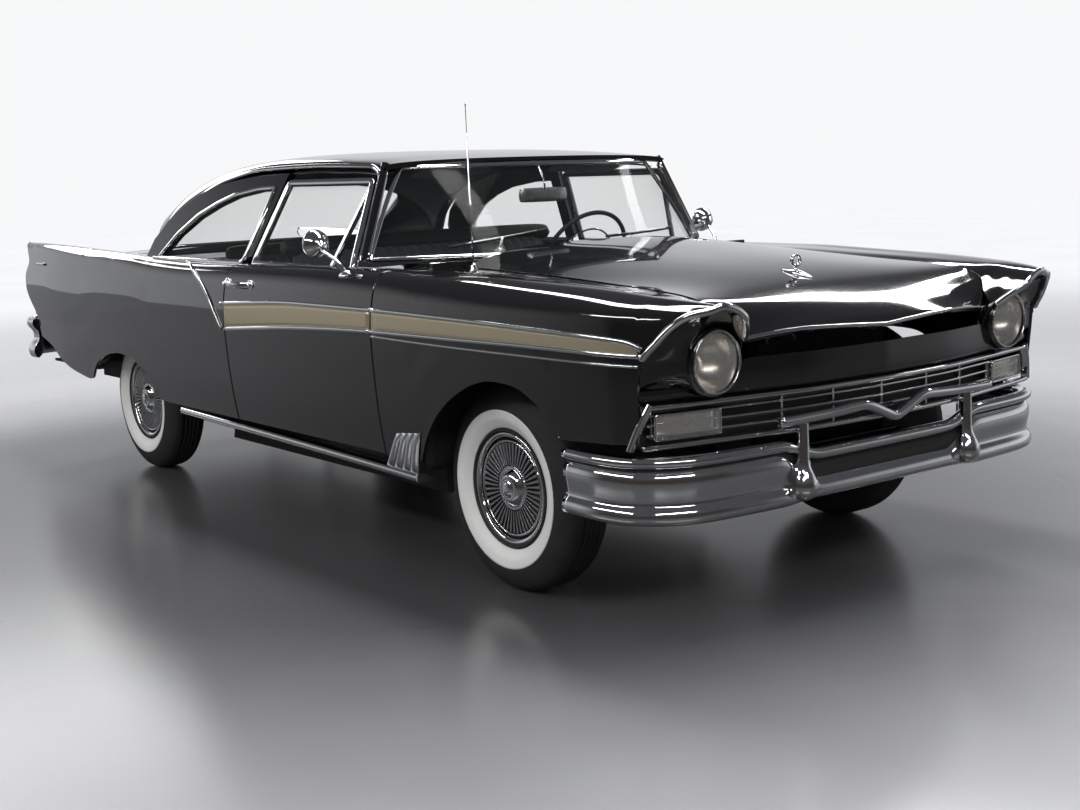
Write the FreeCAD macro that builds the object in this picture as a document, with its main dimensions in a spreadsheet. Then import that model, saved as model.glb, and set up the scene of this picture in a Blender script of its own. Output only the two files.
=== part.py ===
import FreeCAD, Part
import math
import os
import Sketcher
from types import SimpleNamespace
from FreeCAD import Placement, Rotation, Vector

# 1950s two-door saloon with tail fins, stored standing on its four wheels.
# +Z is up, the nose points to -Y and the driver's side is +X. Every piece is drawn from the
# front axle, so y there is the distance behind that axle, and one shift centres the car.

doc = FreeCAD.newDocument("ClassicCar")
sheet = doc.addObject("Spreadsheet::Sheet", "Sizes")

drivingSizes = [
    ("carLength", 5276, "over the bumpers"),
    ("frontOverhang", 913, "front axle to the guard bar"),
    ("wheelbase", 2997, "front axle to rear axle"),
    ("bodyHalfWidth", 968, "centre line to the side at the upper crease"),
    ("roofHeight", 1460, "ground to the crown of the roof"),
    ("beltHeight", 1030, "ground to the foot of the side windows"),
    ("frontTrack", 1499, "between the front tyres' middles"),
    ("rearTrack", 1433, "between the rear tyres' middles"),
    ("tyreRadius", 340, "14 inch cross-ply tyre"),
    ("tyreWidth", 195, "at the fullest part of the sidewall"),
    ("rimRadius", 178, "bead seat"),
    ("rimWidth", 140, "between the beads"),
    ("coverRadius", 175, "bright wheel cover"),
    ("panelDepth", 14, "sheet metal and its folded edge"),
    ("panelGap", 6, "shut line"),
    ("doorDepth", 92, "outer skin to inner trim"),
    ("doorFront", 578, "front edge of the door"),
    ("doorRear", 1712, "rear edge of the door"),
    ("doorBottom", 396, "lower edge of the door"),
    ("sillTop", 389, "top of the bright sill"),
    ("sillBottom", 322, "bottom of the bright sill"),
    ("hoodHalfWidth", 637, "centre line to the edge of the bonnet"),
    ("lidHalfWidth", 640, "centre line to the edge of the boot lid"),
    ("lidFront", 3330, "front edge of the boot lid"),
    ("glassDepth", 6, "pane"),
    ("lampRadius", 89, "7 inch headlamp lens"),
    ("lampOut", 682, "centre line to the headlamp"),
    ("lampHeight", 800, "ground to the headlamp"),
    ("tailLampRadius", 92, "tail lamp lens"),
    ("steeringWheelRadius", 215, "rim of the steering wheel"),
    ("steeringOffset", 375, "centre line to the steering column"),
    ("columnTilt", 27, "degrees that the column rises to the rear"),
    ("kingpinOut", 655, "centre line to the steering axis"),
    ("floorHeight", 318, "underside of the floor"),
    ("seatHalfWidth", 690, "half of the bench seats"),
]


class Size:
    """A number from the sheet that remembers how it was worked out."""

    def __init__(self, value, text):
        self.value = float(value)
        self.text = text

    def join(self, other, sign, value, swap=False):
        mine, theirs = self.text, other.text if isinstance(other, Size) else repr(float(other))
        first, second = (theirs, mine) if swap else (mine, theirs)
        return Size(value, f"({first} {sign} {second})")

    def __float__(self):
        return self.value

    def __add__(self, other):
        return self.join(other, "+", self.value + float(other))

    def __radd__(self, other):
        return self.join(other, "+", float(other) + self.value, swap=True)

    def __sub__(self, other):
        return self.join(other, "-", self.value - float(other))

    def __rsub__(self, other):
        return self.join(other, "-", float(other) - self.value, swap=True)

    def __mul__(self, other):
        return self.join(other, "*", self.value * float(other))

    def __rmul__(self, other):
        return self.join(other, "*", float(other) * self.value, swap=True)

    def __truediv__(self, other):
        return self.join(other, "/", self.value / float(other))

    def __neg__(self):
        return Size(-self.value, f"(0 - {self.text})")


car = SimpleNamespace()
for row, (alias, amount, meaning) in enumerate(drivingSizes, start=1):
    sheet.set(f"A{row}", meaning)
    sheet.set(f"B{row}", str(amount))
    sheet.setAlias(f"B{row}", alias)
    setattr(car, alias, Size(amount, f"Sizes.{alias}"))
doc.recompute()

# Where things lie, measured back from the front axle.
axleShift = car.frontOverhang - car.carLength / 2
left, right = 1, -1
sideNames = {left: "left", right: "right"}
nodes = []


def bind(piece, prop, amount):
    """Set a property, tied to the sheet where the amount comes from it."""
    if isinstance(amount, Size):
        piece.setExpression(prop, amount.text)
        return
    owner = piece
    names = prop.split(".")
    if len(names) == 1:
        setattr(owner, prop, float(amount))
        return
    placement = piece.Placement
    setattr(placement.Base, names[-1], float(amount))
    piece.Placement = placement


def place(piece, where, turn=None):
    """Put a building block at a point, in car coordinates measured from the front axle."""
    piece.Placement = Placement(Vector(*[float(v) for v in where]), turn or Rotation())
    for axis, amount in zip("xyz", where):
        if isinstance(amount, Size):
            piece.setExpression(f"Placement.Base.{axis}", amount.text)
    return piece


def finish(piece, label):
    """Name a sub-part and shift it from the axle's frame to the car's frame."""
    piece.Label = label
    base = piece.Placement.Base
    piece.Placement = Placement(base + Vector(0, float(axleShift), 0), piece.Placement.Rotation)
    piece.setExpression("Placement.Base.y", f"{base.y} + {axleShift.text}")
    nodes.append(piece)
    return piece


def box(name, x, y, z, dx, dy, dz):
    """A block from its low corner and its three sizes."""
    piece = doc.addObject("Part::Box", name)
    for prop, amount in (("Length", dx), ("Width", dy), ("Height", dz)):
        bind(piece, prop, amount)
    return place(piece, (x, y, z))


turns = {"x": Rotation(Vector(0, 1, 0), 90), "y": Rotation(Vector(1, 0, 0), -90), "z": Rotation()}


def rod(name, where, along, radius, length, turn=None):
    """A round bar from its start point along x, y or z."""
    piece = doc.addObject("Part::Cylinder", name)
    bind(piece, "Radius", radius)
    bind(piece, "Height", length)
    return place(piece, where, turn or turns[along])


def fuse(name, pieces):
    joined = doc.addObject("Part::MultiFuse", name)
    joined.Shapes = pieces
    joined.Refine = True
    return joined


def group(name, pieces):
    """Like pieces that don't touch, kept as one node."""
    together = doc.addObject("Part::Compound", name)
    together.Links = pieces
    return together


def cut(name, base, tool):
    result = doc.addObject("Part::Cut", name)
    result.Base = base
    result.Tool = tool
    return result


def made(name, shape):
    """A free-form piece whose shape is worked out from the sizes above."""
    piece = doc.addObject("Part::Feature", name)
    if shape.Volume < 0:
        shape.reverse()
    piece.Shape = shape
    return piece


# Sketches, whose corners are tied to the sheet

def plane(body, role):
    return next(f for f in body.Origin.OriginFeatures if f.Role == role)


def outline(body, name, role, corners, offset=0):
    """A closed sketch. A corner is (across, up) or (across, up, rise), where rise is how far the
    side that leaves it bulges to the left of its run."""
    sketch = body.newObject("Sketcher::SketchObject", name)
    sketch.AttachmentSupport = (plane(body, role), [""])
    sketch.MapMode = "FlatFace"
    sketch.AttachmentOffset = Placement(Vector(0, 0, float(offset)), Rotation())
    count = len(corners)
    points = [Vector(float(c[0]), float(c[1]), 0) for c in corners]
    for i, corner in enumerate(corners):
        start, end = points[i], points[(i + 1) % count]
        rise = float(corner[2]) if len(corner) > 2 else 0.0
        if rise == 0:
            sketch.addGeometry(Part.LineSegment(start, end), False)
            continue
        run = end - start
        middle = (start + end) / 2 + Vector(-run.y, run.x, 0).normalize() * rise
        sketch.addGeometry(Part.Arc(start, middle, end), False)
    ends = []
    for i, corner in enumerate(corners):
        rise = float(corner[2]) if len(corner) > 2 else 0.0
        ends.append((1, 2) if rise <= 0 else (2, 1))
    for i in range(count):
        j = (i + 1) % count
        sketch.addConstraint(Sketcher.Constraint("Coincident", i, ends[i][1], j, ends[j][0]))
    for i, corner in enumerate(corners):
        for kind, amount, axis in (("DistanceX", corner[0], -2), ("DistanceY", corner[1], -1)):
            if float(amount) == 0:
                sketch.addConstraint(Sketcher.Constraint("PointOnObject", i, ends[i][0], axis))
                continue
            number = sketch.addConstraint(
                Sketcher.Constraint(kind, -1, 1, i, ends[i][0], float(amount)))
            if isinstance(amount, Size):
                sketch.setExpression(f"Constraints[{number}]", amount.text)
        if len(corner) > 2 and float(corner[2]) != 0:
            half = (points[(i + 1) % count] - points[i]).Length / 2
            rise = abs(float(corner[2]))
            radius = (half * half + rise * rise) / (2 * rise)
            sketch.addConstraint(Sketcher.Constraint("Radius", i, radius))
    return sketch


def lathe(name, corners, where, outboard=left):
    """A body turned about the x axis from a profile of (along x, radius) corners."""
    body = doc.addObject("PartDesign::Body", name)
    sketch = outline(body, name + "_profile", "XY_Plane", corners)
    turned = body.newObject("PartDesign::Revolution", name + "_turned")
    turned.Profile = sketch
    turned.ReferenceAxis = (sketch, ["H_Axis"])
    turned.Angle = 360
    body.Tip = turned
    return place(body, where, Rotation(Vector(0, 0, 1), 0 if outboard == left else 180))


def pad(name, role, corners, depth, where, turn=None, rounded=0):
    """A body padded from an outline, both ways from its plane."""
    body = doc.addObject("PartDesign::Body", name)
    sketch = outline(body, name + "_outline", role, corners)
    raised = body.newObject("PartDesign::Pad", name + "_raised")
    raised.Profile = sketch
    bind(raised, "Length", depth)
    raised.Midplane = True
    body.Tip = raised
    if rounded:
        doc.recompute()
        soft = body.newObject("PartDesign::Fillet", name + "_soft")
        soft.Base = (raised, [f"Edge{i + 1}" for i in range(len(raised.Shape.Edges))])
        bind(soft, "Radius", rounded)
        body.Tip = soft
    return place(body, where, turn)


# Free-form panels

def along(curve, where):
    """The value of a curve of (distance, value) knots, smooth and without overshoot."""
    knots = [k for k, _ in curve]
    values = [v for _, v in curve]
    if where <= knots[0]:
        return values[0]
    if where >= knots[-1]:
        return values[-1]
    slopes = [(values[i + 1] - values[i]) / (knots[i + 1] - knots[i]) for i in range(len(knots) - 1)]
    leans = [slopes[0]]
    for before, after in zip(slopes, slopes[1:]):
        leans.append(0 if before * after <= 0 else 2 * before * after / (before + after))
    leans.append(slopes[-1])
    i = max(n for n in range(len(knots) - 1) if knots[n] <= where)
    width = knots[i + 1] - knots[i]
    u = (where - knots[i]) / width
    return (values[i] * (1 + 2 * u) * (1 - u) ** 2 + leans[i] * width * u * (1 - u) ** 2
            + values[i + 1] * u * u * (3 - 2 * u) - leans[i + 1] * width * u * u * (1 - u))


def curve3d(points):
    spline = Part.BSplineCurve()
    spline.interpolate([Vector(*p) for p in points])
    return spline.toShape()


def inset(points, depth):
    """Points moved to the left of their run, by the depth of the wall."""
    moved = []
    for i, point in enumerate(points):
        before, after = points[max(i - 1, 0)], points[min(i + 1, len(points) - 1)]
        run = (after[0] - before[0], after[1] - before[1])
        size = math.hypot(*run)
        moved.append((point[0] - run[1] / size * depth, point[1] + run[0] / size * depth))
    return moved


def evenly(points, count):
    """The same smooth line through other points, evenly spaced along it."""
    walked = [0.0]
    for a, b in zip(points, points[1:]):
        walked.append(walked[-1] + math.dist(a, b))
    coordinates = [list(zip(walked, column)) for column in zip(*points)]
    steps = [walked[-1] * i / (count - 1) for i in range(count)]
    return [tuple(along(c, at) for c in coordinates) for at in steps]


def skin(grid):
    surface = Part.BSplineSurface()
    surface.interpolate([[Vector(*p) for p in line] for line in grid])
    return surface


def shellOf(outerGrid, innerGrid):
    """A solid wall between two grids of points, with four ruled edges."""
    outer, inner = skin(outerGrid), skin(innerGrid)
    u0, u1, v0, v1 = outer.bounds()
    a0, a1, b0, b1 = inner.bounds()
    pairs = [(outer.uIso(u0), inner.uIso(a0)), (outer.uIso(u1), inner.uIso(a1)),
             (outer.vIso(v0), inner.vIso(b0)), (outer.vIso(v1), inner.vIso(b1))]
    faces = [outer.toShape(), inner.toShape()]
    sameWay = 1
    faces += [Part.makeRuledSurface(one.toShape(), two.toShape(), sameWay) for one, two in pairs]
    shell = Part.makeShell(faces)
    shell.sewShape()
    solid = Part.makeSolid(shell)
    if solid.Volume < 0:
        solid.reverse()
    return solid


def wall(outer, depth, lift):
    """The closed wire of a wall: its outer line, its inner line and two ends."""
    a = [lift(p) for p in outer]
    b = [lift(p) for p in inset(outer, depth)]
    return Part.Wire([curve3d(a), Part.makeLine(a[-1], b[-1]), curve3d(list(reversed(b))),
                      Part.makeLine(b[0], a[0])])


def loft(wires, ruled=False):
    shape = Part.makeLoft(wires, True, ruled)
    if shape.Volume < 0:
        shape.reverse()
    return shape


def sideLoft(start, end, count, section, depth, side, fineness=13):
    """A panel through cross sections of (outward, up) points at even steps along the car. Each
    end is a distance, or a curve of it over the share of the section from its first point."""
    outer, inner = [], []
    for step in range(count):
        outerLine, innerLine = [], []
        for place in range(fineness):
            share = place / (fineness - 1)
            first = along(start, share) if isinstance(start, list) else start
            last = along(end, share) if isinstance(end, list) else end
            s = first + (last - first) * step / (count - 1)
            line = evenly(section(s), fineness)
            x, z = line[place]
            outerLine.append((side * x, s, z))
            x, z = inset(line, depth)[place]
            innerLine.append((side * x, s, z))
        outer.append(outerLine)
        inner.append(innerLine)
    return shellOf(outer, inner)


def crossLoft(low, high, count, profile, depth, fineness=11):
    """A panel through lengthwise profiles of (back, up) points at even steps across the car."""
    outer, inner = [], []
    for step in range(count):
        x = low + (high - low) * step / (count - 1)
        line = evenly(profile(x), fineness)
        outer.append([(x, s, z) for s, z in line])
        inner.append([(x, s, z) for s, z in inset(line, depth)])
    return shellOf(outer, inner)


def biggest(shape):
    return max(shape.Solids, key=lambda solid: solid.Volume)


def slab(corners, low, high, across="x"):
    """A prism of a (back, up) outline between two offsets across the car, or of an
    (outward, back) outline between two heights."""
    if across == "x":
        points = [Vector(low, *c) for c in corners]
        push = Vector(high - low, 0, 0)
    else:
        points = [Vector(c[0], c[1], low) for c in corners]
        push = Vector(0, 0, high - low)
    return Part.Face(Part.makePolygon(points + points[:1])).extrude(push)


def pipe(points, profile):
    """A profile wire swept along straight runs with mitred corners."""
    path = Part.makePolygon([Vector(*p) for p in points])
    return path.makePipeShell([profile], True, False, 1)


def tube(points, radius):
    """A round tube along straight runs, with a ball at each corner."""
    corners = [Vector(*p) for p in points]
    pieces = [Part.makeCylinder(radius, (b - a).Length, a, b - a) for a, b in zip(corners, corners[1:])]
    pieces += [Part.makeSphere(radius, c) for c in corners[1:-1]]
    return pieces[0].fuse(pieces[1:])


def ringWire(centre, normal, radius):
    return Part.Wire(Part.makeCircle(radius, Vector(*centre), Vector(*normal)))


def frameWire(centre, width, height, along="y"):
    """An upright rectangle of a rail, across a run along the car or across it."""
    x, y, z = centre
    w, h = width / 2, height / 2
    if along == "y":
        points = [(x - w, y, z - h), (x + w, y, z - h), (x + w, y, z + h), (x - w, y, z + h)]
    else:
        points = [(x, y - w, z - h), (x, y + w, z - h), (x, y + w, z + h), (x, y - w, z + h)]
    return Part.makePolygon([Vector(*p) for p in points + points[:1]])


# The body's lines. Each is a curve of (distance behind the front axle, value).

half = float(car.bodyHalfWidth)
belt = float(car.beltHeight)
planHalf = [(-940, 740), (-905, 775), (-884, 815), (-849, 861), (-796, 898), (-755, 917),
            (-700, 934), (-640, 944), (-300, half - 10), (300, half - 2), (1100, half),
            (2000, half - 1), (2800, half - 4), (3600, half - 16), (4360, half - 52)]
sideTuck = [(300, 58), (450, 28), (620, 10), (800, 0), (890, 4), (950, 16), (1000, 40)]
ridgeOut = [(-940, 700), (-905, 735), (-884, 752), (-849, 778), (-796, 795),
            (-716, 812), (-170, 812), (204, 826), (575, 862), (1100, 880),
            (1715, 880), (2100, 884), (2700, 884), (3263, 872), (3809, 860), (4360, 836)]
ridgeUp = [(-940, 958), (-905, 965), (-849, 975), (-716, 988), (-457, 1007), (-170, 1020),
           (204, 1033), (575, 1034), (1100, 1032), (1715, 1028), (2098, 1024), (2552, 1033),
           (2775, 1043), (3263, 1062), (3809, 1077), (4360, 1084)]
hoodEdgeUp = [(-900, 800), (-862, 806), (-800, 828), (-785, 848), (-760, 905), (-730, 946),
              (-690, 968), (-583, 983), (-361, 998), (-68, 1014), (228, 1024), (480, 1032)]
hoodCentreUp = [(-900, 800), (-857, 848), (-835, 876), (-780, 912), (-700, 943), (-583, 975),
                (-317, 1020), (0, 1058), (266, 1084), (480, 1096)]
noseLine = [(0, -862), (300, -846), (560, -805), (700, -780), (820, -757), (905, -735)]
hoodFront = [(0, -857), (300, -841), (560, -800), (600, -772), (637, -736)]
noseTop = [(0, 833), (300, 827), (520, 812), (580, 790), (640, 755), (700, 735), (905, 735)]


def sidePoints(s, bottom, top):
    """The outer side from its lower edge to the shoulder, at five even heights."""
    points = []
    for step in range(5):
        z = bottom + (top - bottom) * step / 4
        points.append((along(planHalf, s) - along(sideTuck, z), z))
    return points


# Front fenders, with the arch cut out and the lamp end raked

fenderBottom = [(-940, 610), (-700, 582), (-420, 566), (-330, 560), (-100, 393), (572, 393)]
fenderEdgeUp = [(-940, 850), (-830, 858), (-800, 874), (-775, 892), (-750, 917),
                (-735, 942), (-690, 965), (-583, 980), (-361, 995),
                (-68, 1011), (228, 1022), (480, 1030)]
browInner = {"near": [(-940, 670), (-905, 690), (-850, 706), (-800, 715), (-700, 735), (572, 790)],
             "nearDrop": [(-940, 14), (-800, 10), (-700, 4), (572, 4)],
             "middle": [(-940, 640), (-850, 646), (-800, 655), (-700, 690), (572, 715)],
             "edge": [(-940, 584), (-830, 588), (-800, 594), (-775, 606), (-750, 626), (-735, 643),
                      (572, 643)]}
archFront = [(-478, 250), (-470, 420), (-405, 575), (-320, 665), (-211, 709), (-110, 714),
             (-10, 695), (133, 629), (238, 548), (318, 450), (368, 345), (380, 250)]
archRear = [(3360, 250), (3330, 400), (3230, 500), (3080, 560), (2900, 583), (2720, 560),
            (2600, 505), (2530, 430), (2470, 340), (2440, 250)]
browEdge = [(0, -735), (0.34, -755), (0.406, -796), (0.507, -849), (0.6, -884), (0.68, -904),
            (0.77, -911), (0.87, -886), (1, -830)]


def fenderSection(s):
    points = sidePoints(s, along(fenderBottom, s), 945)
    top, out = along(ridgeUp, s), along(ridgeOut, s)
    edgeUp = along(fenderEdgeUp, s)
    shoulder = points[-1][0]
    points.append((out + 0.62 * (shoulder - out), top - 16))
    points.append((out, top))
    points.append((along(browInner["near"], s), top - along(browInner["nearDrop"], s)))
    middleUp = 0.55 * top + 0.45 * edgeUp
    points.append((along(browInner["middle"], s), middleUp))
    points.append((along(browInner["edge"], s), edgeUp))
    return points


def arch(points, side):
    """The space of a wheel arch, from inside the tyre to outside the body."""
    ends = [Vector(side * 600, *p) for p in points]
    edge = Part.BSplineCurve()
    edge.interpolate(ends)
    face = Part.Face(Part.Wire([edge.toShape(), Part.makeLine(ends[-1], ends[0])]))
    return face.extrude(Vector(side * 500, 0, 0))


def lampBowl(side, radius, front, back):
    centre = Vector(side * float(car.lampOut), front, float(car.lampHeight))
    return Part.makeCylinder(radius, back - front, centre, Vector(0, 1, 0))


depth = float(car.panelDepth)
gap = float(car.panelGap)
fenders = {}
for side in (left, right):
    fender = sideLoft(browEdge, float(car.doorFront) - gap, 28, fenderSection, depth, side, 29)
    fender = fender.cut(arch(archFront, side))
    fenders[side] = fender
    finish(made(f"fender_{sideNames[side]}", fender), f"fender_{sideNames[side]}")


# Quarter panels with their fins

quarterBottom = [(1718, 396), (2300, 396), (3300, 415), (3565, 441), (3753, 488), (3856, 549),
                 (4060, 600), (4360, 700)]
quarterInner = [(1718, 838), (2600, 830), (2950, 800), (3200, 770), (4360, 760)]
quarterEdge = [(1718, 815), (2600, 800), (2900, 720), (3050, 650), (3300, 646), (4360, 646)]
quarterEdgeUp = [(1718, 1022), (2600, 1022), (2900, 1028), (3300, 1022), (3600, 1014),
                 (3900, 996), (4100, 966), (4200, 930), (4360, 900)]
finEdge = [(0, 4020), (0.14, 4045), (0.245, 4185), (0.3, 4208), (0.37, 4216), (0.43, 4196),
           (0.47, 4165), (0.53, 4215), (0.59, 4300), (0.635, 4358), (0.7, 4320), (0.8, 4215),
           (1, 4165)]


def quarterSection(s):
    points = sidePoints(s, along(quarterBottom, s), 945)
    top, out = along(ridgeUp, s), along(ridgeOut, s)
    edgeUp = along(quarterEdgeUp, s)
    shoulder = points[-1][0]
    inner, edge = along(quarterInner, s), along(quarterEdge, s)
    points.append((out + 0.55 * (shoulder - out), top - 14))
    points.append((out, top))
    points.append((0.5 * (out + inner), 0.75 * top + 0.25 * edgeUp))
    points.append((inner, 0.4 * top + 0.6 * edgeUp))
    points.append((edge, edgeUp))
    return points


quarters = {}
for side in (left, right):
    quarter = sideLoft(float(car.doorRear) + gap, finEdge, 18, quarterSection, depth, side, 25)
    quarter = quarter.cut(arch(archRear, side))
    quarters[side] = quarter
    finish(made(f"quarter_{sideNames[side]}", quarter), f"quarter_{sideNames[side]}")


# Bonnet, boot lid and the panels round them

def hoodProfile(x):
    share = abs(x) / float(car.hoodHalfWidth)
    blend = share ** 3
    start = along(hoodFront, abs(x))
    points = []
    for step in range(9):
        s = start + (470 - start) * (step / 8) ** 1.7
        up = along(hoodCentreUp, s) * (1 - blend) + along(hoodEdgeUp, s) * blend
        points.append((s, up))
    return points


hoodHalf = float(car.hoodHalfWidth)
hood = crossLoft(-hoodHalf, hoodHalf, 31, hoodProfile, -16)
finish(made("hood", hood), "hood")


def noseProfile(x):
    front, top = along(noseLine, abs(x)), along(noseTop, abs(x))
    return [(front + 16, 694), (front + 4, 706), (front, 0.5 * (700 + top)), (front + 2, top - 2)]


nose = crossLoft(-905, 905, 31, noseProfile, -depth, 5)
for side in (left, right):
    nose = nose.cut(lampBowl(side, 95, -1000, -600))
    nose = nose.fuse(lampBowl(side, 97, -800, -660).cut(lampBowl(side, 92, -810, -668)))
    nose = nose.cut(fenders[side])
finish(made("nose_panel", nose), "nose_panel")


def lidProfile(x):
    drop = 18 * (x / float(car.lidHalfWidth)) ** 2
    pull = 26 * (x / float(car.lidHalfWidth)) ** 2
    front = float(car.lidFront)
    return [(front, 1043 - drop), (3600, 1038 - drop), (3900, 1018 - drop),
            (4110 - pull, 984 - drop), (4215 - pull, 940 - drop), (4252 - pull, 880),
            (4258 - pull, 780), (4250 - pull, 665)]


lidHalf = float(car.lidHalfWidth)
lid = crossLoft(-lidHalf, lidHalf, 7, lidProfile, -26, 15)
finish(made("trunk_lid", lid), "trunk_lid")


def tulipProfile(x):
    drop = 18 * (x / lidHalf) ** 2
    start = 3272 - 104 * (abs(x) / lidHalf) ** 3
    end = float(car.lidFront) - gap
    return [(start, 1046 - drop), (0.5 * (start + end), 1045 - drop), (end, 1043 - drop)]


tulip = crossLoft(-lidHalf, lidHalf, 11, tulipProfile, -depth, 4)
tailPanel = slab([(4180, 480), (4196, 480), (4232, 652), (4200, 652)], -lidHalf, lidHalf)
deckPieces = [tulip, tailPanel]
for side in (left, right):
    low, high = sorted((side * (lidHalf + 10), side * 905))
    plate = slab([(4120, 700), (4134, 700), (4160, 950), (4146, 950)], low, high)
    deckPieces.append(biggest(plate.cut(quarters[side])))


# Roof with its rear posts, header and windscreen posts

roofCentreUp = [(880, 1412), (1100, 1437), (1400, 1454), (1750, 1460), (2100, 1455), (2400, 1432),
                (2650, 1390), (2800, 1352), (3000, 1230), (3160, 1110)]
railOut = [(880, 690), (1100, 702), (1750, 706), (2122, 706), (2402, 716), (2623, 748),
           (2743, 778), (2860, 742), (2985, 690), (3160, 612)]
railUp = [(880, 1385), (1100, 1394), (1400, 1401), (1750, 1399), (2122, 1363), (2402, 1290),
          (2623, 1171), (2743, 1046), (2800, 1030), (3160, 1030)]


def roofSection(s):
    out, low, high = along(railOut, s), along(railUp, s), along(roofCentreUp, s)
    points = []
    for step in range(13):
        angle = math.pi * step / 12
        x = out * math.copysign(abs(math.cos(angle)) ** 0.8, math.cos(angle))
        points.append((x, low + (high - low) * math.sin(angle) ** 0.75))
    return points


roof = sideLoft(880, 3160, 20, roofSection, 30, 1, 21)
lightCut = [(0, 2800), (-450, 2795), (-545, 2772), (-592, 2830), (-600, 3000), (-584, 3300),
            (584, 3300), (600, 3000), (592, 2830), (545, 2772), (450, 2795)]
roof = roof.cut(slab(lightCut, 900, 1600, "z"))


# The side windows lie in one leaning plane each side.

glassLean = 0.47
glassFoot = 862.0


def onGlass(side, s, z, inward=0):
    """A point of the side glass, or that far inside it."""
    slope = math.hypot(1, glassLean)
    x = glassFoot - (z - belt) * glassLean - inward / slope
    return Vector(side * x, s, z - inward * glassLean / slope)


def pane(side, outlinePoints, depthIn, start=0):
    """A flat plate in the leaning plane."""
    points = [onGlass(side, s, z, start) for s, z in outlinePoints]
    far = onGlass(side, 0, belt, depthIn) - onGlass(side, 0, belt, 0)
    return Part.Face(Part.makePolygon(points + points[:1])).extrude(far)


doorWindow = [(1022, 1042), (1622, 1042), (1556, 1326), (926, 1322)]
ventWindow = [(884, 1042), (996, 1042), (918, 1240)]
doorFrameOut = [(852, 1008), (1652, 1008), (1650, 1034), (1578, 1362), (920, 1356), (862, 1060)]
quarterWindow = [(1722, 1042), (1656, 1324), (1800, 1322), (2000, 1300), (2150, 1264),
                 (2300, 1214), (2440, 1140), (2560, 1042)]
postOuter = [(1662, 1054), (1583, 1410), (1645, 1410), (1722, 1054)]
postInner = [(1600, 1070), (1560, 1425), (1660, 1425), (1724, 1070)]
quarterRing = [(1720, 1012), (1640, 1385), (1640, 1408), (1800, 1406), (2000, 1386), (2170, 1356),
               (2330, 1318), (2480, 1262), (2600, 1190), (2680, 1112), (2700, 1036), (2690, 1012)]
postPieces = []
for side in (left, right):
    ring = pane(side, quarterRing, 30).cut(pane(side, quarterWindow, 80, -20))
    post = pane(side, postOuter, 30)
    inner = pane(side, postInner, 30, 36)
    postPieces.append(ring.fuse([post, inner]))
    foot, head = Vector(side * 822, 833, 1054), Vector(side * 668, 902, 1398)
    path = Part.makePolygon([foot, head])
    postPieces.append(path.makePipeShell([ringWire(foot, head - foot, 16)], True, False))


def headerProfile(x):
    bow = 1 - (abs(x) / 690) ** 2.4
    drop = (x / 660) ** 2
    return [(905 - 90 * bow, 1390 - 14 * drop), (925 - 60 * bow, 1400 - 14 * drop),
            (960, 1408 - 10 * drop)]


header = crossLoft(-680, 680, 9, headerProfile, -26, 4)
rearPanels = Part.makeCompound([quarters[left], quarters[right]])
roof = biggest(roof.fuse(header).cut(rearPanels))
finish(made("roof", roof), "roof")
posts = [biggest(piece.cut(roof).cut(rearPanels)) for piece in postPieces]
finish(made("window_posts", Part.makeCompound(posts)), "window_posts")
frameWork = Part.makeCompound([roof] + posts)


# Cowl, firewall and hinge pillars

def cowlProfile(x):
    rear = along([(0, 1074), (637, 1034), (820, 1026)], abs(x))
    return [(478, along([(0, 1094), (637, 1030), (820, 1024)], abs(x))),
            (520, along([(0, 1092), (637, 1034), (820, 1026)], abs(x))),
            (570 + 0.36 * abs(x), rear)]


def cowlSide(x):
    rear = along([(637, 1034), (820, 1026)], abs(x))
    return [(578, rear + 2), (700, rear + 1), (570 + 0.36 * abs(x), rear)]


def cowlCover(thickness):
    """The panel below the windscreen, between the fenders and the doors."""
    pieces = [crossLoft(-637, 637, 9, cowlProfile, -thickness, 4)]
    for low, high in ((-816, -635), (635, 816)):
        pieces.append(crossLoft(low, high, 4, cowlSide, -thickness, 4))
    return pieces[0].fuse(pieces[1:])


cowlUnder = cowlCover(120)
firewall = slab([(446, 480), (460, 480), (500, 1050), (486, 1050)], -760, 760)
cowlPieces = [firewall]
for side in (left, right):
    low, high = sorted((side * 740, side * 812))
    cowlPieces.append(slab([(500, 470), (566, 470), (566, 1000), (500, 1000)], low, high))
    low, high = sorted((side * 760, side * 816))
    cowlPieces.append(slab([(560, 930), (850, 990), (850, 1020), (560, 1020)], low, high))
cowlShape = cowlCover(depth).fuse(cowlPieces)
cowlShape = cowlShape.cut(Part.makeCompound([fenders[left], fenders[right]]))
finish(made("cowl", cowlShape), "cowl")


# Glass

def bowedPane(levels, power, direction):
    """A wrapped pane through level sections: (height, half width, middle, corner)."""
    wires = []
    for height, width, middle, corner in levels:
        outer = []
        for step in range(-4, 5):
            x = width * step / 4
            outer.append((x, middle + (corner - middle) * (abs(x) / width) ** power))
        wires.append(wall(outer, direction * float(car.glassDepth),
                          lambda p, h=height: Vector(p[0], p[1], h)))
    return loft(wires)


screenLevels = [(1040, 822, 530, 842), (1150, 760, 612, 868), (1260, 695, 700, 892),
                (1384, 610, 812, 918)]
rearLevels = [(1040, 618, 3256, 3158), (1140, 612, 3136, 2980), (1250, 604, 2980, 2812),
              (1345, 520, 2812, 2772)]


screen = bowedPane(screenLevels, 2.6, 1).cut(cowlUnder).cut(frameWork)
finish(made("windshield", biggest(screen)), "windshield")
rearScreen = bowedPane(rearLevels, 2.6, -1).cut(frameWork).cut(tulip)
finish(made("backlight", biggest(rearScreen)), "backlight")
quarterPanes = [pane(side, quarterWindow, 6, 12).cut(frameWork) for side in (left, right)]
finish(made("quarter_glass", Part.makeCompound(quarterPanes)), "quarter_glass")


# Doors, each as thick as the whole door, with window frames

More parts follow.
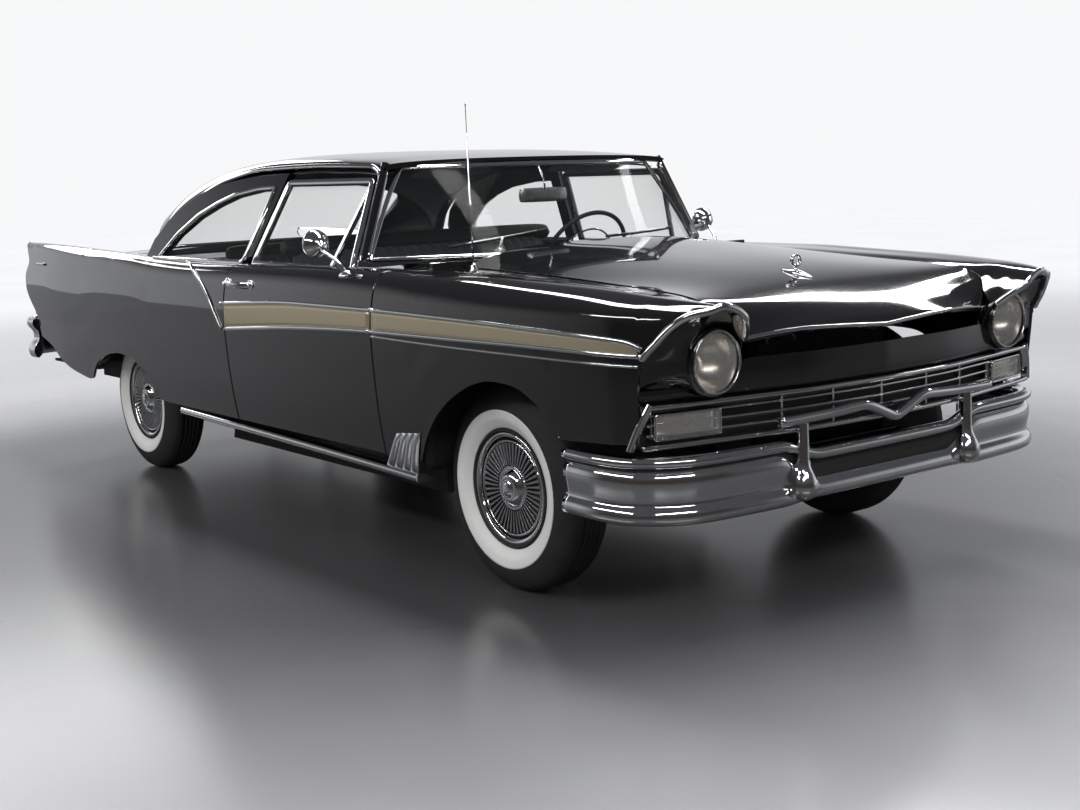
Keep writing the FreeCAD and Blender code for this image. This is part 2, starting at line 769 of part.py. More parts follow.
def doorSection(s):
    points = sidePoints(s, float(car.doorBottom), 945)
    out, top = along(ridgeOut, s), along(ridgeUp, s)
    points.append((out + 0.55 * (points[-1][0] - out), top - 12))
    points.append((out, top))
    return points


def doorShell(side):
    front, rear = float(car.doorFront), float(car.doorRear)
    swingTaper = 0.08
    wires = []
    for s in (front, 860, 1145, 1430, rear):
        taper = swingTaper if s == rear else 0

        def behind(x):
            return s - (half - x) * taper

        outer = [Vector(side * x, behind(x), z) for x, z in doorSection(s)]
        footX = abs(outer[0].x) - float(car.doorDepth)
        headX = glassFoot - 38
        foot = Vector(side * footX, behind(footX), float(car.doorBottom))
        head = Vector(side * headX, behind(headX), outer[-1].z)
        wires.append(Part.Wire([curve3d(outer), Part.makeLine(outer[-1], head),
                                Part.makeLine(head, foot), Part.makeLine(foot, outer[0])]))
    return loft(wires)


doorShells = {}
for side in (left, right):
    name = sideNames[side]
    doorShells[side] = doorShell(side)
    frame = pane(side, doorFrameOut, 26)
    for hole in (doorWindow, ventWindow):
        frame = frame.cut(pane(side, hole, 80, -20))
    finish(made(f"door_{name}", doorShells[side].fuse(frame)), f"door_{name}")
    glass = [pane(side, hole, 6, 10) for hole in (doorWindow, ventWindow)]
    finish(made(f"door_glass_{name}", Part.makeCompound(glass)), f"door_glass_{name}")


floorZ = float(car.floorHeight)
pan = slab([(462, 474), (720, floorZ), (2290, floorZ), (2510, 500), (3330, 500), (3530, 440),
            (4150, 440), (4150, 452), (3536, 452), (3336, 512), (2504, 512), (2284, floorZ + 14),
            (726, floorZ + 14), (470, 486)], -818, 818)
tunnelRun = slab([(470, floorZ), (2500, floorZ), (2500, 800), (470, 800)], -300, 300)
tunnel = Part.makeCylinder(165, 2100, Vector(0, 400, floorZ), Vector(0, 1, 0))
hollow = Part.makeCylinder(153, 2120, Vector(0, 390, floorZ), Vector(0, 1, 0))
bench = slab([(2290, floorZ), (2510, 500), (2600, 500), (2600, 900), (2000, 900), (2000, floorZ)],
             -900, 900)
pan = pan.cut(hollow).fuse(tunnel.cut(hollow).common(tunnelRun).common(bench.fuse(
    slab([(440, 480), (720, floorZ), (2010, floorZ), (2010, 900), (440, 900)], -900, 900))))
for side in (left, right):
    start = Vector(side * 560, float(car.wheelbase), 340)
    pan = pan.cut(Part.makeCylinder(390, 420, start, Vector(side, 0, 0)))
tubs = []
for side in (left, right):
    start = Vector(side * 548, float(car.wheelbase), 340)
    outer = Part.makeCylinder(402, 270, start, Vector(side, 0, 0))
    inner = Part.makeCylinder(390, 260, start + Vector(side * 12, 0, 0), Vector(side, 0, 0))
    keep = slab([(2500, 500), (3500, 500), (3500, 800), (2500, 800)], -900, 900)
    tubs.append(outer.cut(inner).common(keep))
kickUp = slab([(2286, 200), (4200, 200), (4200, 900), (2286, 900)], -900, 900)
finish(made("floor_pan", pan.cut(kickUp)), "floor_pan")
finish(made("boot_floor", pan.common(kickUp).fuse(tubs)), "boot_floor")

sillPieces = []
for side in (left, right):
    outer = float(car.bodyHalfWidth) - 34
    sill = box(f"sill_block_{sideNames[side]}", side * outer - (110 if side == left else 0), 385,
               car.sillBottom, 110, 1900, car.sillTop - car.sillBottom)
    sillPieces.append(sill)
finish(group("sills", sillPieces), "sills")


# Frame, engine and running gear

rails = []
for side in (left, right):
    route = [(side * 370, -760, 420), (side * 370, 350, 380), (side * 610, 640, 250),
             (side * 610, 2350, 250), (side * 470, 2560, 400), (side * 470, 3300, 440),
             (side * 520, 3500, 380), (side * 520, 4150, 380)]
    rails.append(pipe(route, frameWire(route[0], 64, 96)))
crossings = [(-700, 420, 370), (-60, 330, 370), (1150, 250, 610), (2300, 250, 610),
             (3420, 400, 480), (4120, 380, 520)]
bars = []
for s, z, reach in crossings:
    bars.append(Part.makeBox(2 * reach, 70, 70, Vector(-reach, s - 35, z - 35)))
frameRails = Part.makeCompound(rails)
finish(made("frame", frameRails), "frame")
bars = [biggest(crossBar.cut(frameRails)) for crossBar in bars]
finish(made("crossmembers", Part.makeCompound(bars)), "crossmembers")

finish(pad("engine", "YZ_Plane", [(-330, 400), (330, 400), (330, 560), (300, 830), (-300, 830),
                                  (-330, 560)], 430, (0, 0, 0)), "engine")
gearbox = rod("gearbox", (0, 330, 360), "y", 95, 620)
shaft = rod("propeller_shaft", (0, 950, 350), "y", 36, car.wheelbase - 950 - 139.5)
finish(fuse("driveline", [gearbox, shaft]), "driveline")

axleTube = rod("axle_tube", (-590, car.wheelbase, car.tyreRadius), "x", 34, 1180)
axleCase = rod("axle_case", (-75, car.wheelbase, car.tyreRadius), "x", 139, 150)
axlePieces = [axleTube, axleCase]
for side in (left, right):
    name = sideNames[side]
    start = side * 590 - (0 if side == left else 55)
    axlePieces.append(rod(f"rear_drum_{name}", (start, car.wheelbase, car.tyreRadius), "x", 140, 55))
    axlePieces.append(box(f"leaf_spring_{name}", side * 540 - 32, car.wheelbase - 517, 240,
                          64, 1160, 24))
    axlePieces.append(box(f"spring_seat_{name}", side * 540 - 32, car.wheelbase - 45, 262,
                          64, 90, 50))
    axlePieces.append(box(f"shackle_{name}", side * 530 - 20, car.wheelbase + 603, 262, 40, 40, 69))
finish(fuse("rear_axle", axlePieces), "rear_axle")

armPieces = []
for side in (left, right):
    for z, tag in ((250, "lower"), (440, "upper")):
        corners = [(side * x, s) for x, s in ((404, -70), (404, 70), (590, 45), (640, 18),
                                              (640, -18), (590, -45))]
        armPieces.append(pad(f"{tag}_arm_{sideNames[side]}", "XY_Plane", corners, 30, (0, 0, z)))
    armPieces.append(rod(f"coil_{sideNames[side]}", (side * 500, 0, 250), "z", 60, 260))
link = box("steering_link", -400, 160, 300, 800, 24, 24)
finish(fuse("front_suspension", armPieces + [link]), "front_suspension")

pipes = []
for side in (left, right):
    route = [(side * 260, 240, 470), (side * 260, 420, 186), (side * 260, 2420, 186),
             (side * 300, 2800, 246), (side * 300, 3120, 246), (side * 430, 3360, 300),
             (side * 430, 4170, 300)]
    silencer = Part.makeCylinder(64, 500, Vector(side * 260, 1680, 230), Vector(0, 1, 0))
    pipes.append(tube(route, 24).fuse(silencer))
finish(made("exhaust", Part.makeCompound(pipes)), "exhaust")
finish(pad("fuel_tank", "YZ_Plane", [(3520, 290), (4040, 290), (4040, 392), (3520, 392)], 760,
           (0, 0, 0), rounded=24), "fuel_tank")


# Wheels and tyres

halfTyre = car.tyreWidth / 2
halfRim = car.rimWidth / 2
tyreProfile = [(-halfRim, car.rimRadius), (-halfRim, car.rimRadius + 18),
               (-halfTyre + 4, car.rimRadius + 52), (-halfTyre, car.rimRadius + 82),
               (-halfTyre + 14, car.tyreRadius - 38), (-halfTyre + 32, car.tyreRadius - 9),
               (-halfTyre + 52, car.tyreRadius), (halfTyre - 52, car.tyreRadius),
               (halfTyre - 32, car.tyreRadius - 9), (halfTyre - 14, car.tyreRadius - 38),
               (halfTyre, car.rimRadius + 82), (halfTyre - 4, car.rimRadius + 52),
               (halfRim, car.rimRadius + 18), (halfRim, car.rimRadius),
               (halfRim - 14, car.rimRadius), (halfTyre - 22, car.rimRadius + 60),
               (halfTyre - 34, car.tyreRadius - 36), (-halfTyre + 34, car.tyreRadius - 36),
               (-halfTyre + 22, car.rimRadius + 60), (-halfRim + 14, car.rimRadius)]
wheelProfile = [(-halfRim - 8, car.rimRadius + 16), (-halfRim - 8, car.rimRadius - 5),
                (-36, car.rimRadius - 8), (-30, car.rimRadius - 20), (20, car.rimRadius - 20),
                (34, 80), (34, 0), (84, 0), (82, 30), (66, 62), (50, 66), (50, 78), (66, 150),
                (halfRim - 2, car.coverRadius - 2), (halfRim + 8, car.rimRadius + 8),
                (halfRim + 8, car.rimRadius + 16), (halfRim, car.rimRadius + 16),
                (halfRim, car.rimRadius), (-halfRim, car.rimRadius),
                (-halfRim, car.rimRadius + 16)]
for side in (left, right):
    for end, axle, track in (("front", 0, car.frontTrack), ("rear", car.wheelbase, car.rearTrack)):
        name = f"{end}_{sideNames[side]}"
        where = (side * (track / 2), axle, car.tyreRadius)
        finish(lathe(f"tyre_{name}", tyreProfile, where, side), f"tyre_{name}")
        finish(lathe(f"wheel_{name}", wheelProfile, where, side), f"wheel_{name}")

for side in (left, right):
    name = sideNames[side]
    drumStart = side * 668 - (0 if side == left else 70)
    drum = rod(f"brake_drum_{name}", (drumStart, 0, car.tyreRadius), "x", 138, 70)
    hub = rod(f"hub_{name}", (side * 738 - (0 if side == left else 40), 0, car.tyreRadius), "x",
              60, 40)
    pin = rod(f"kingpin_{name}", (side * car.kingpinOut, 0, 262), "z", 14, 170)
    finish(fuse(f"knuckle_{name}", [drum, hub, pin]), f"knuckle_{name}")


# Bumpers, guard bar, grille and lamps

def bar(route, profile, count=21):
    """A bumper blade: a closed (out, up) profile carried round a smooth route in plan."""
    spline = Part.BSplineCurve()
    spline.interpolate([Vector(x, y, 0) for x, y in route])
    low, high = spline.FirstParameter, spline.LastParameter
    wires = []
    for step in range(count):
        at = low + (high - low) * step / (count - 1)
        run = spline.tangent(at)[0]
        outward = Vector(run.y, -run.x, 0).normalize()
        edge = Part.BSplineCurve()
        edge.interpolate([spline.value(at) + outward * o + Vector(0, 0, u) for o, u in profile],
                         PeriodicFlag=True)
        wires.append(Part.Wire(edge.toShape()))
    return loft(wires, True)


bladeProfile = [(0, 335), (14, 340), (22, 366), (16, 396), (-6, 430), (-8, 470), (12, 500),
                (26, 524), (22, 546), (4, 556), (-14, 545), (-22, 500), (-24, 400), (-16, 345)]
frontRoute = [(932, -440), (936, -600), (900, -720), (780, -808), (560, -852), (280, -874),
              (0, -880)]
frontRoute = [(-x, y) for x, y in frontRoute[:-1]] + frontRoute[::-1]
frontBar = bar(frontRoute, bladeProfile)
finish(made("bumper_front", frontBar), "bumper_front")

rearProfile = [(0, 470), (16, 476), (24, 510), (10, 545), (-8, 570), (-4, 610), (18, 640),
               (20, 668), (4, 684), (-16, 670), (-24, 600), (-22, 500)]
rearRoute = [(925, 4083), (920, 4183), (860, 4262), (700, 4307), (400, 4332), (0, 4338.7)]
rearRoute = rearRoute[:-1] + [(-x, y) for x, y in reversed(rearRoute)]
rearBar = bar(rearRoute, rearProfile)
finish(made("bumper_rear", rearBar), "bumper_rear")
deckPieces = [piece.cut(rearBar) for piece in deckPieces]
finish(made("rear_deck", Part.makeCompound(deckPieces)), "rear_deck")

guardRoute = [(-490, -878, 609), (-135, -900, 622), (0, -900, 566), (135, -900, 622),
              (490, -878, 609)]
guardBar = pipe(guardRoute, frameWire(guardRoute[0], 26, 30, "x"))
guardPosts = []
for side in (left, right):
    bulb = Part.makeCone(28, 40, 60, Vector(side * 387, -872, 372), Vector(0, 0, 1))
    post = Part.makeCylinder(22, 190, Vector(side * 387, -878, 425), Vector(0, 0, 1))
    guardPosts += [bulb, post]
guard = guardBar.fuse(guardPosts).cut(frontBar)
finish(made("bumper_guard", biggest(guard)), "bumper_guard")

grilleBars = []
for z in (600, 632, 660):
    route = [(-860, -735, z), (-560, -800, z), (0, -835, z), (560, -800, z), (860, -735, z)]
    grilleBars.append(pipe(route, frameWire(route[0], 16, 8, "x")))
for x in (-420, -220, 0, 220, 420):
    grilleBars.append(Part.makeBox(8, 16, 100, Vector(x - 4, along(noseLine, abs(x)) + 20, 575)))
surround = pipe([(-884, -739, 668), (-560, -802, 680), (0, -842, 684), (560, -802, 680),
                 (884, -739, 668)], frameWire((-884, -739, 668), 26, 14, "x"))
lower = pipe([(-884, -739, 572), (-560, -802, 572), (0, -842, 572), (560, -802, 572),
              (884, -739, 572)], frameWire((-884, -739, 572), 26, 14, "x"))
ends = [Part.makeBox(14, 30, 110, Vector(side * 884 - 7, -752, 565)) for side in (left, right)]
parking = [Part.makeBox(210, 30, 74, Vector(side * 760 - 105, -752, 586)) for side in (left, right)]
finish(made("grille", surround.fuse([lower] + grilleBars + ends + parking)), "grille")

lampPieces = []
for side in (left, right):
    lens = doc.addObject("Part::Cone", f"lens_{sideNames[side]}")
    bind(lens, "Radius1", car.lampRadius)
    lens.Radius2 = 60
    lens.Height = 90
    place(lens, (side * car.lampOut, -812, car.lampHeight), turns["y"])
    lampPieces.append(lens)
finish(group("headlamps", lampPieces), "headlamps")

tailPieces = []
for side in (left, right):
    tailPieces.append(rod(f"tail_lens_{sideNames[side]}", (side * 800, 4172, 872), "y",
                          car.tailLampRadius, 60))
finish(group("tail_lamps", tailPieces), "tail_lamps")


# Interior

dashCorners = [(610, 980), (640, 860), (720, 850), (760, 900), (770, 970), (700, 990)]
finish(pad("dashboard", "YZ_Plane", dashCorners, 1440, (0, 0, 0)), "dashboard")

tilt = float(car.columnTilt)
columnTurn = Rotation(Vector(1, 0, 0), tilt - 90)
hubAt = Vector(float(car.steeringOffset), 1050, 985)
back = Vector(0, math.cos(math.radians(tilt)), math.sin(math.radians(tilt)))
columnFoot = hubAt - back * 560
column = rod("steering_column", tuple(columnFoot), "y", 24, 520, columnTurn)
finish(column, "steering_column")

rim = doc.addObject("Part::Torus", "steering_rim")
bind(rim, "Radius1", car.steeringWheelRadius)
rim.Radius2 = 9
place(rim, tuple(hubAt), columnTurn)
boss = rod("steering_boss", tuple(hubAt - back * 30), "y", 34, 40, columnTurn)
spoke = doc.addObject("Part::Box", "steering_spoke")
bind(spoke, "Length", car.steeringWheelRadius * 2)
spoke.Width = 26
spoke.Height = 10
across = columnTurn.multVec(Vector(-float(car.steeringWheelRadius), -13, -5))
place(spoke, tuple(hubAt + across), columnTurn)
finish(fuse("steering_wheel", [rim, boss, spoke]), "steering_wheel")

frontSeat = [(1180, 336), (1172, 560), (1200, 600), (1560, 560), (1660, 1090), (1700, 1118),
             (1760, 1090), (1730, 560), (1700, 336)]
rearSeat = [(2040, 336), (2036, 580), (2060, 620), (2400, 580), (2530, 1040), (2580, 1066),
            (2630, 1040), (2600, 516), (2500, 516), (2282, 336)]
for name, corners, width in (("front_seat", frontSeat, car.seatHalfWidth * 2),
                             ("rear_seat", rearSeat, car.seatHalfWidth * 1.5)):
    bench = pad(f"{name}_bench", "YZ_Plane", corners, width, (0, 0, 0))
    room = box(f"{name}_tunnel_room", -172, 1100, 300, 344, 1420, 192)
    finish(cut(name, bench, room), name)

mast = Vector(-760, 238, 1020)
aerial = Part.makeCylinder(14, 30, mast, Vector(0, 0, 1))
aerial = aerial.fuse(Part.makeCylinder(2.5, 540, mast + Vector(0, 0, 20), Vector(0.03, 0.06, 1)))
finish(made("aerial", aerial.cut(fenders[right])), "aerial")

for side in (left, right):
    name = sideNames[side]
    foot = Vector(side * 915, 806, 1006)
    head = Vector(side * 960, 930, 1122)
    stalk = Part.makeCylinder(8, (head - foot).Length, foot, head - foot)
    shell = Part.makeCone(18, 50, 60, head + Vector(0, -40, 0), Vector(0, 1, 0))
    finish(made(f"mirror_{name}", stalk.fuse(shell).cut(doorShells[side])), f"mirror_{name}")


# Check every object, then write one file for each sub-part

doc.recompute()
for piece in doc.Objects:
    if "Invalid" in piece.State or "Error" in piece.State:
        raise RuntimeError(f"{piece.Label} did not rebuild: {piece.State}")
os.makedirs("parts", exist_ok=True)
for piece in nodes:
    shape = piece.Shape
    if shape.isNull() or not shape.isValid() or not shape.Solids:
        raise RuntimeError(f"{piece.Label} is not a valid solid")
    shape.exportStep(f"parts/{piece.Label}.step")
    print(piece.Label, len(shape.Solids), "solids", round(shape.Volume / 1e6, 2), "litres")
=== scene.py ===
import bmesh
import bpy
import math
import numpy as np
from mathutils import Matrix


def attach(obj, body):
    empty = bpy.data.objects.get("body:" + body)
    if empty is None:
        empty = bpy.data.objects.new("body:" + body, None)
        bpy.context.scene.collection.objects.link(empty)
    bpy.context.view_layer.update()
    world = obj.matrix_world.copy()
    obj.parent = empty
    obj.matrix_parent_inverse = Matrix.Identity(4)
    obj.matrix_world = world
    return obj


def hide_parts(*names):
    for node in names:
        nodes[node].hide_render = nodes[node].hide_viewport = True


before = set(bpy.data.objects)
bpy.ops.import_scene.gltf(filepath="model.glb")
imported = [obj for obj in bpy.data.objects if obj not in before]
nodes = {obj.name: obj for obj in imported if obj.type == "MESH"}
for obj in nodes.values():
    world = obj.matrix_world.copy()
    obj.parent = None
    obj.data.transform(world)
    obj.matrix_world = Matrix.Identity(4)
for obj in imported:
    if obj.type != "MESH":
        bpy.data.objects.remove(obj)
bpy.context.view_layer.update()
print("frame loaded:", len(nodes), "nodes")

# Places are in millimetres: x out from the centre line, s behind the front axle, z above the ground.
axleShift = -1725.0
left, right = 1, -1
sides = ((left, "left"), (right, "right"))


def toRow(points):
    # metres in the row frame: x and z divided by 1000, y is (s + shift) / 1000
    points = np.array(points, float)
    points[..., 1] += axleShift
    return points / 1000


def spread(*parts):
    # numbers and arrays that broadcast together, stacked into points
    return np.stack(np.broadcast_arrays(*(np.asarray(part, float) for part in parts)), -1)


def unit(vectors):
    vectors = np.asarray(vectors, float)
    return vectors / np.linalg.norm(vectors, axis=-1, keepdims=True)


# Curves and grids

def slopes(run):
    # the harmonic mean of the runs beside each knot, or 0 at a turning point, so nothing overshoots
    product, total = run[:-1] * run[1:], run[:-1] + run[1:]
    middle = np.where(product > 0, 2 * product / np.where(total == 0, 1, total), 0)
    return np.concatenate([run[:1], middle, run[-1:]])


def hermite(low, high, leanLow, leanHigh, width, u):
    # the cubic with those ends and slopes, at share u of the width
    return (low * (1 + 2 * u) * (1 - u) ** 2 + leanLow * width * u * (1 - u) ** 2
            + high * u * u * (3 - 2 * u) - leanHigh * width * u * u * (1 - u))


def curve(knots):
    # a function through the knots, constant beyond them
    x, y = np.array(knots, float).T
    lean = slopes(np.diff(y) / np.diff(x))

    def value(at):
        at = np.asarray(at, float)
        i = np.clip(np.searchsorted(x, at, side="right") - 1, 0, len(x) - 2)
        width = x[i + 1] - x[i]
        return hermite(y[i], y[i + 1], lean[i], lean[i + 1], width, np.clip((at - x[i]) / width, 0, 1))

    return value


def sections(points, count):
    # points is (knots, columns, 2); each column is resampled to count points, evenly along it
    p = np.array(points, float)
    step = np.linalg.norm(np.diff(p, axis=0), axis=2)
    walked = np.concatenate([np.zeros((1, p.shape[1])), np.cumsum(step, axis=0)])
    lean = slopes(np.diff(p, axis=0) / step[..., None])
    columns = np.arange(p.shape[1])
    rows = []
    for share in np.linspace(0, 1, count):
        at = walked[-1] * share
        i = np.clip((walked[:-1] <= at).sum(0) - 1, 0, p.shape[0] - 2)
        here, after = (i, columns), (i + 1, columns)
        width = (walked[after] - walked[here])[:, None]
        u = np.clip((at - walked[here])[:, None] / width, 0, 1)
        rows.append(hermite(p[here], p[after], lean[here], lean[after], width, u))
    return np.array(rows)


def spline(points, count):
    # a Catmull-Rom curve through points, sampled evenly by length:
    # p(u) = blend of four neighbours with cubic weights
    p = np.array(points, float)
    padded = np.concatenate([[2 * p[0] - p[1]], p, [2 * p[-1] - p[-2]]])
    t = np.linspace(0, len(p) - 1 - 1e-9, 40 * len(p))
    i = t.astype(int)
    u = (t - i)[:, None]
    a, b, c, d = (padded[i + k] for k in range(4))
    fine = 0.5 * (2 * b + (c - a) * u + (2 * a - 5 * b + 4 * c - d) * u ** 2
                  + (3 * b - a - 3 * c + d) * u ** 3)
    return even(fine, count)


def ringOf(points, count):
    # a smooth closed loop through the points
    points = list(points)
    return spline(points + points[:1], count)[:-1]


def even(points, count):
    # the same line with count points at equal steps of its length
    p = np.array(points, float)
    walked = np.concatenate([[0], np.cumsum(np.linalg.norm(np.diff(p, axis=0), axis=1))])
    steps = np.linspace(0, walked[-1], count)
    return np.stack([np.interp(steps, walked, column) for column in p.T], axis=1)


def rounded(points, radius, steps=5):
    # a polyline whose inner corners are quadratic blends that touch both runs
    p = np.array(points, float)
    line = [p[0]]
    for before, corner, after in zip(p, p[1:], p[2:]):
        ends = []
        for other in (before, after):
            run = other - corner
            long = np.linalg.norm(run)
            ends.append(corner + run / long * min(radius, long * 0.45))
        u = np.linspace(0, 1, steps)[:, None]
        line.extend((1 - u) ** 2 * ends[0] + 2 * u * (1 - u) * corner + u ** 2 * ends[1])
    return np.array(line + [p[-1]])


def between(first, last, rows):
    # rows of points from one line to the other
    return first + (last - first) * np.linspace(0, 1, rows).reshape((rows,) + (1,) * np.ndim(first))


def stretched(loop, x, scale):
    # a loop in s and z carried across the car, scaled about its middle at each x
    middle = loop.mean(0)
    flat = middle + (loop - middle) * np.asarray(scale)[:, None, None]
    return spread(x[:, None], flat[..., 0], flat[..., 1])


def gridFaces(rows, columns, wrapRows=False, wrapColumns=False):
    # quads between neighbouring rows and columns of a grid of vertices
    i = np.arange(rows if wrapRows else rows - 1)[:, None]
    j = np.arange(columns if wrapColumns else columns - 1)[None, :]
    ii, jj = (i + 1) % rows, (j + 1) % columns
    quads = np.stack([i * columns + j, i * columns + jj, ii * columns + jj, ii * columns + j], -1)
    return quads.reshape(-1, 4)


def ringFaces(rows, columns, joinUp=False):
    # closed rings; the first and last are capped unless they join up
    faces = gridFaces(rows, columns, joinUp, True).tolist()
    if not joinUp:
        faces += [list(range(columns))[::-1], list(range((rows - 1) * columns, rows * columns))]
    return faces


# Materials. One class carries a socket through arithmetic.

class Field:
    def __init__(self, tree, socket):
        self.tree, self.socket = tree, socket


def arithmetic(operation, swapped):
    def apply(self, other):
        values = (other, self) if swapped else (self, other)
        return node(self.tree, "ShaderNodeMath", {"operation": operation}, values)

    return apply


for method, operation, swapped in (("add", "ADD", False), ("radd", "ADD", True), ("mul", "MULTIPLY", False),
                                   ("pow", "POWER", False), ("gt", "GREATER_THAN", False)):
    setattr(Field, f"__{method}__", arithmetic(operation, swapped))


def node(tree, kind, settings, values=(), output=0):
    made = tree.nodes.new(kind)
    for name, setting in settings.items():
        setattr(made, name, setting)
    for key, value in values.items() if isinstance(values, dict) else enumerate(values):
        if isinstance(value, Field):
            tree.links.new(value.socket, made.inputs[key])
        else:
            made.inputs[key].default_value = value
    return Field(tree, made.outputs[output])


def mixColour(tree, share, first, second):
    # inputs 0, 6 and 7 and output 2 of a mix node are its share and its colours
    first, second = (value if isinstance(value, Field) else (*value, 1) for value in (first, second))
    return node(tree, "ShaderNodeMix", {"data_type": "RGBA"}, {0: share, 6: first, 7: second}, 2)


def noise(tree, where, scale, detail):
    return node(tree, "ShaderNodeTexNoise", {}, {"Vector": where, "Scale": scale, "Detail": detail})


def bump(tree, height, distance, strength):
    return node(tree, "ShaderNodeBump", {}, {"Height": height, "Distance": distance, "Strength": strength})


def smoothstep(tree, value, low, high):
    return node(tree, "ShaderNodeMapRange", {"interpolation_type": "SMOOTHSTEP"},
                {"Value": value, "From Min": low, "From Max": high})


def material(name, build, **constants):
    # constants go on the shader's own sockets; build(tree, where) returns the varying ones
    made = bpy.data.materials.new(name)
    made.use_nodes = True
    tree = made.node_tree
    shader = tree.nodes["Principled BSDF"]
    for socket, value in constants.items():
        shader.inputs[socket.replace("_", " ")].default_value = (
            (*value, 1) if isinstance(value, tuple) else value)
    where = node(tree, "ShaderNodeTexCoord", {}, output="Object")
    for socket, value in build(tree, where).items():
        tree.links.new(value.socket, shader.inputs[socket])
    return made


def relief(tree, where, kind, scale, detail):
    if kind == "noise":
        return noise(tree, where, scale, detail)
    output = {"Voronoi": 0, "Checker": 1}[kind]
    return node(tree, f"ShaderNodeTex{kind}", {}, {"Vector": where, "Scale": scale}, output)


def graded(name, first, second, tone, rough, grain=None, stretch=None, **constants):
    # colour and roughness follow a noise of that scale and detail; grain is a texture's kind,
    # scale and detail, its depth in metres and its strength
    def build(tree, where):
        if stretch:
            where = node(tree, "ShaderNodeMapping", {}, {"Vector": where, "Scale": stretch})
        shade = noise(tree, where, *tone)
        made = {"Base Color": mixColour(tree, shade, first, second), "Roughness": rough[0] + shade * rough[1]}
        if grain:
            made["Normal"] = bump(tree, relief(tree, where, *grain[:3]), *grain[3:])
        return made

    return material(name, build, **constants)


def glassLook(tree, where):
    # clearer face on, brighter at a glancing angle
    face = node(tree, "ShaderNodeLayerWeight", {}, {"Blend": 0.35}, "Facing")
    return {"Alpha": 0.07 + face ** 4.0 * 0.55, "Roughness": 0.01 + noise(tree, where, 7.0, 4.0) * 0.03}


def lensLook(tree, where):
    # fluted lamp glass: fine upright ribs
    across = node(tree, "ShaderNodeSeparateXYZ", {}, [where])
    ribs = node(tree, "ShaderNodeMath", {"operation": "SINE"}, [across * 900.0])
    face = node(tree, "ShaderNodeLayerWeight", {}, {"Blend": 0.4}, "Facing")
    return {"Alpha": 0.14 + face ** 2.0 * 0.6, "Normal": bump(tree, ribs, 0.0012, 0.6)}


def redLook(tree, where):
    rings = relief(tree, where, "Voronoi", 130.0, 0)
    return {"Base Color": mixColour(tree, rings, (0.3, 0.004, 0.006), (0.5, 0.012, 0.012)),
            "Normal": bump(tree, rings, 0.001, 0.5)}


def dialLook(tree, where):
    # pale marks round a black face
    marks = node(tree, "ShaderNodeTexWave", {"wave_type": "RINGS"}, {"Vector": where, "Scale": 60.0}, 1)
    return {"Base Color": mixColour(tree, marks > 0.82, (0.01, 0.01, 0.012), (0.5, 0.52, 0.5))}


black = graded("glossBlack", (0.0035, 0.0035, 0.004), (0.007, 0.007, 0.008), (160, 4), (0.05, 0.05),
               ("noise", 9, 2, 0.0004, 0.25), Coat_Weight=1.0, Coat_Roughness=0.015, Coat_IOR=1.6, IOR=1.5)
chrome = graded("chrome", (0.72, 0.73, 0.75), (0.86, 0.87, 0.88), (30, 3), (0.035, 0.06), Metallic=1.0)
satin = graded("satinSteel", (0.42, 0.43, 0.44), (0.6, 0.6, 0.61), (60, 4), (0.22, 0.16), Metallic=1.0)
gold = graded("goldInsert", (0.5, 0.43, 0.29), (0.66, 0.58, 0.42), (6, 4), (0.26, 0.14),
              stretch=(30, 1, 900), Metallic=0.75)
glass = material("windowGlass", glassLook, Base_Color=(0.05, 0.062, 0.06), IOR=1.5, Metallic=0.0)
rubber = graded("tyreRubber", (0.013, 0.013, 0.014), (0.03, 0.03, 0.031), (14, 4), (0.62, 0.25),
                ("noise", 420, 3, 0.0005, 0.4))
whitewall = graded("whitewall", (0.86, 0.86, 0.84), (0.74, 0.735, 0.71), (22, 5), (0.42, 0.2),
                   ("noise", 300, 2, 0.0003, 0.3))
iron = graded("castIron", (0.028, 0.027, 0.026), (0.075, 0.07, 0.064), (90, 5), (0.5, 0.35),
              ("noise", 90, 5, 0.001, 0.5), Metallic=0.6)
under = graded("underside", (0.012, 0.012, 0.012), (0.034, 0.032, 0.03), (60, 6), (0.55, 0.3),
               ("noise", 60, 6, 0.0008, 0.4))
vinyl = graded("blackVinyl", (0.013, 0.013, 0.015), (0.028, 0.028, 0.031), (11, 3), (0.34, 0.18),
               ("Voronoi", 520, 0, 0.0004, 0.35))
weave = ("Checker", 700, 0, 0.0004, 0.3)
cloth = graded("darkCloth", (0.028, 0.031, 0.038), (0.06, 0.065, 0.078), (8, 5), (0.72, 0.2), weave,
               Sheen_Weight=0.3)
headliner = graded("headliner", (0.16, 0.165, 0.17), (0.24, 0.245, 0.25), (8, 5), (0.72, 0.2), weave)
lens = material("lampGlass", lensLook, Base_Color=(0.5, 0.5, 0.48), Roughness=0.05, IOR=1.5)
reflector = graded("lampReflector", (0.86, 0.84, 0.8), (0.52, 0.44, 0.33), (26, 3), (0.16, 0.22),
                   Metallic=1.0)
redLens = material("redLens", redLook, Roughness=0.08, Coat_Weight=1.0, Coat_Roughness=0.03)
carpet = graded("carpet", (0.014, 0.014, 0.015), (0.045, 0.045, 0.047), (500, 4), (0.85, 0.1),
                ("noise", 500, 4, 0.003, 0.8))
dial = material("dial", dialLook, Roughness=0.3, Coat_Weight=0.6)
print("materials made")


# Pieces

def addObject(name, data):
    made = bpy.data.objects.new(name, data)
    bpy.context.scene.collection.objects.link(made)
    return made


def finish(name, mesh, look, body, stands=()):
    piece = addObject(name, mesh)
    mesh.materials.append(look)
    mesh.shade_smooth()
    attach(piece, body)
    if stands:
        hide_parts(*stands)
    return piece


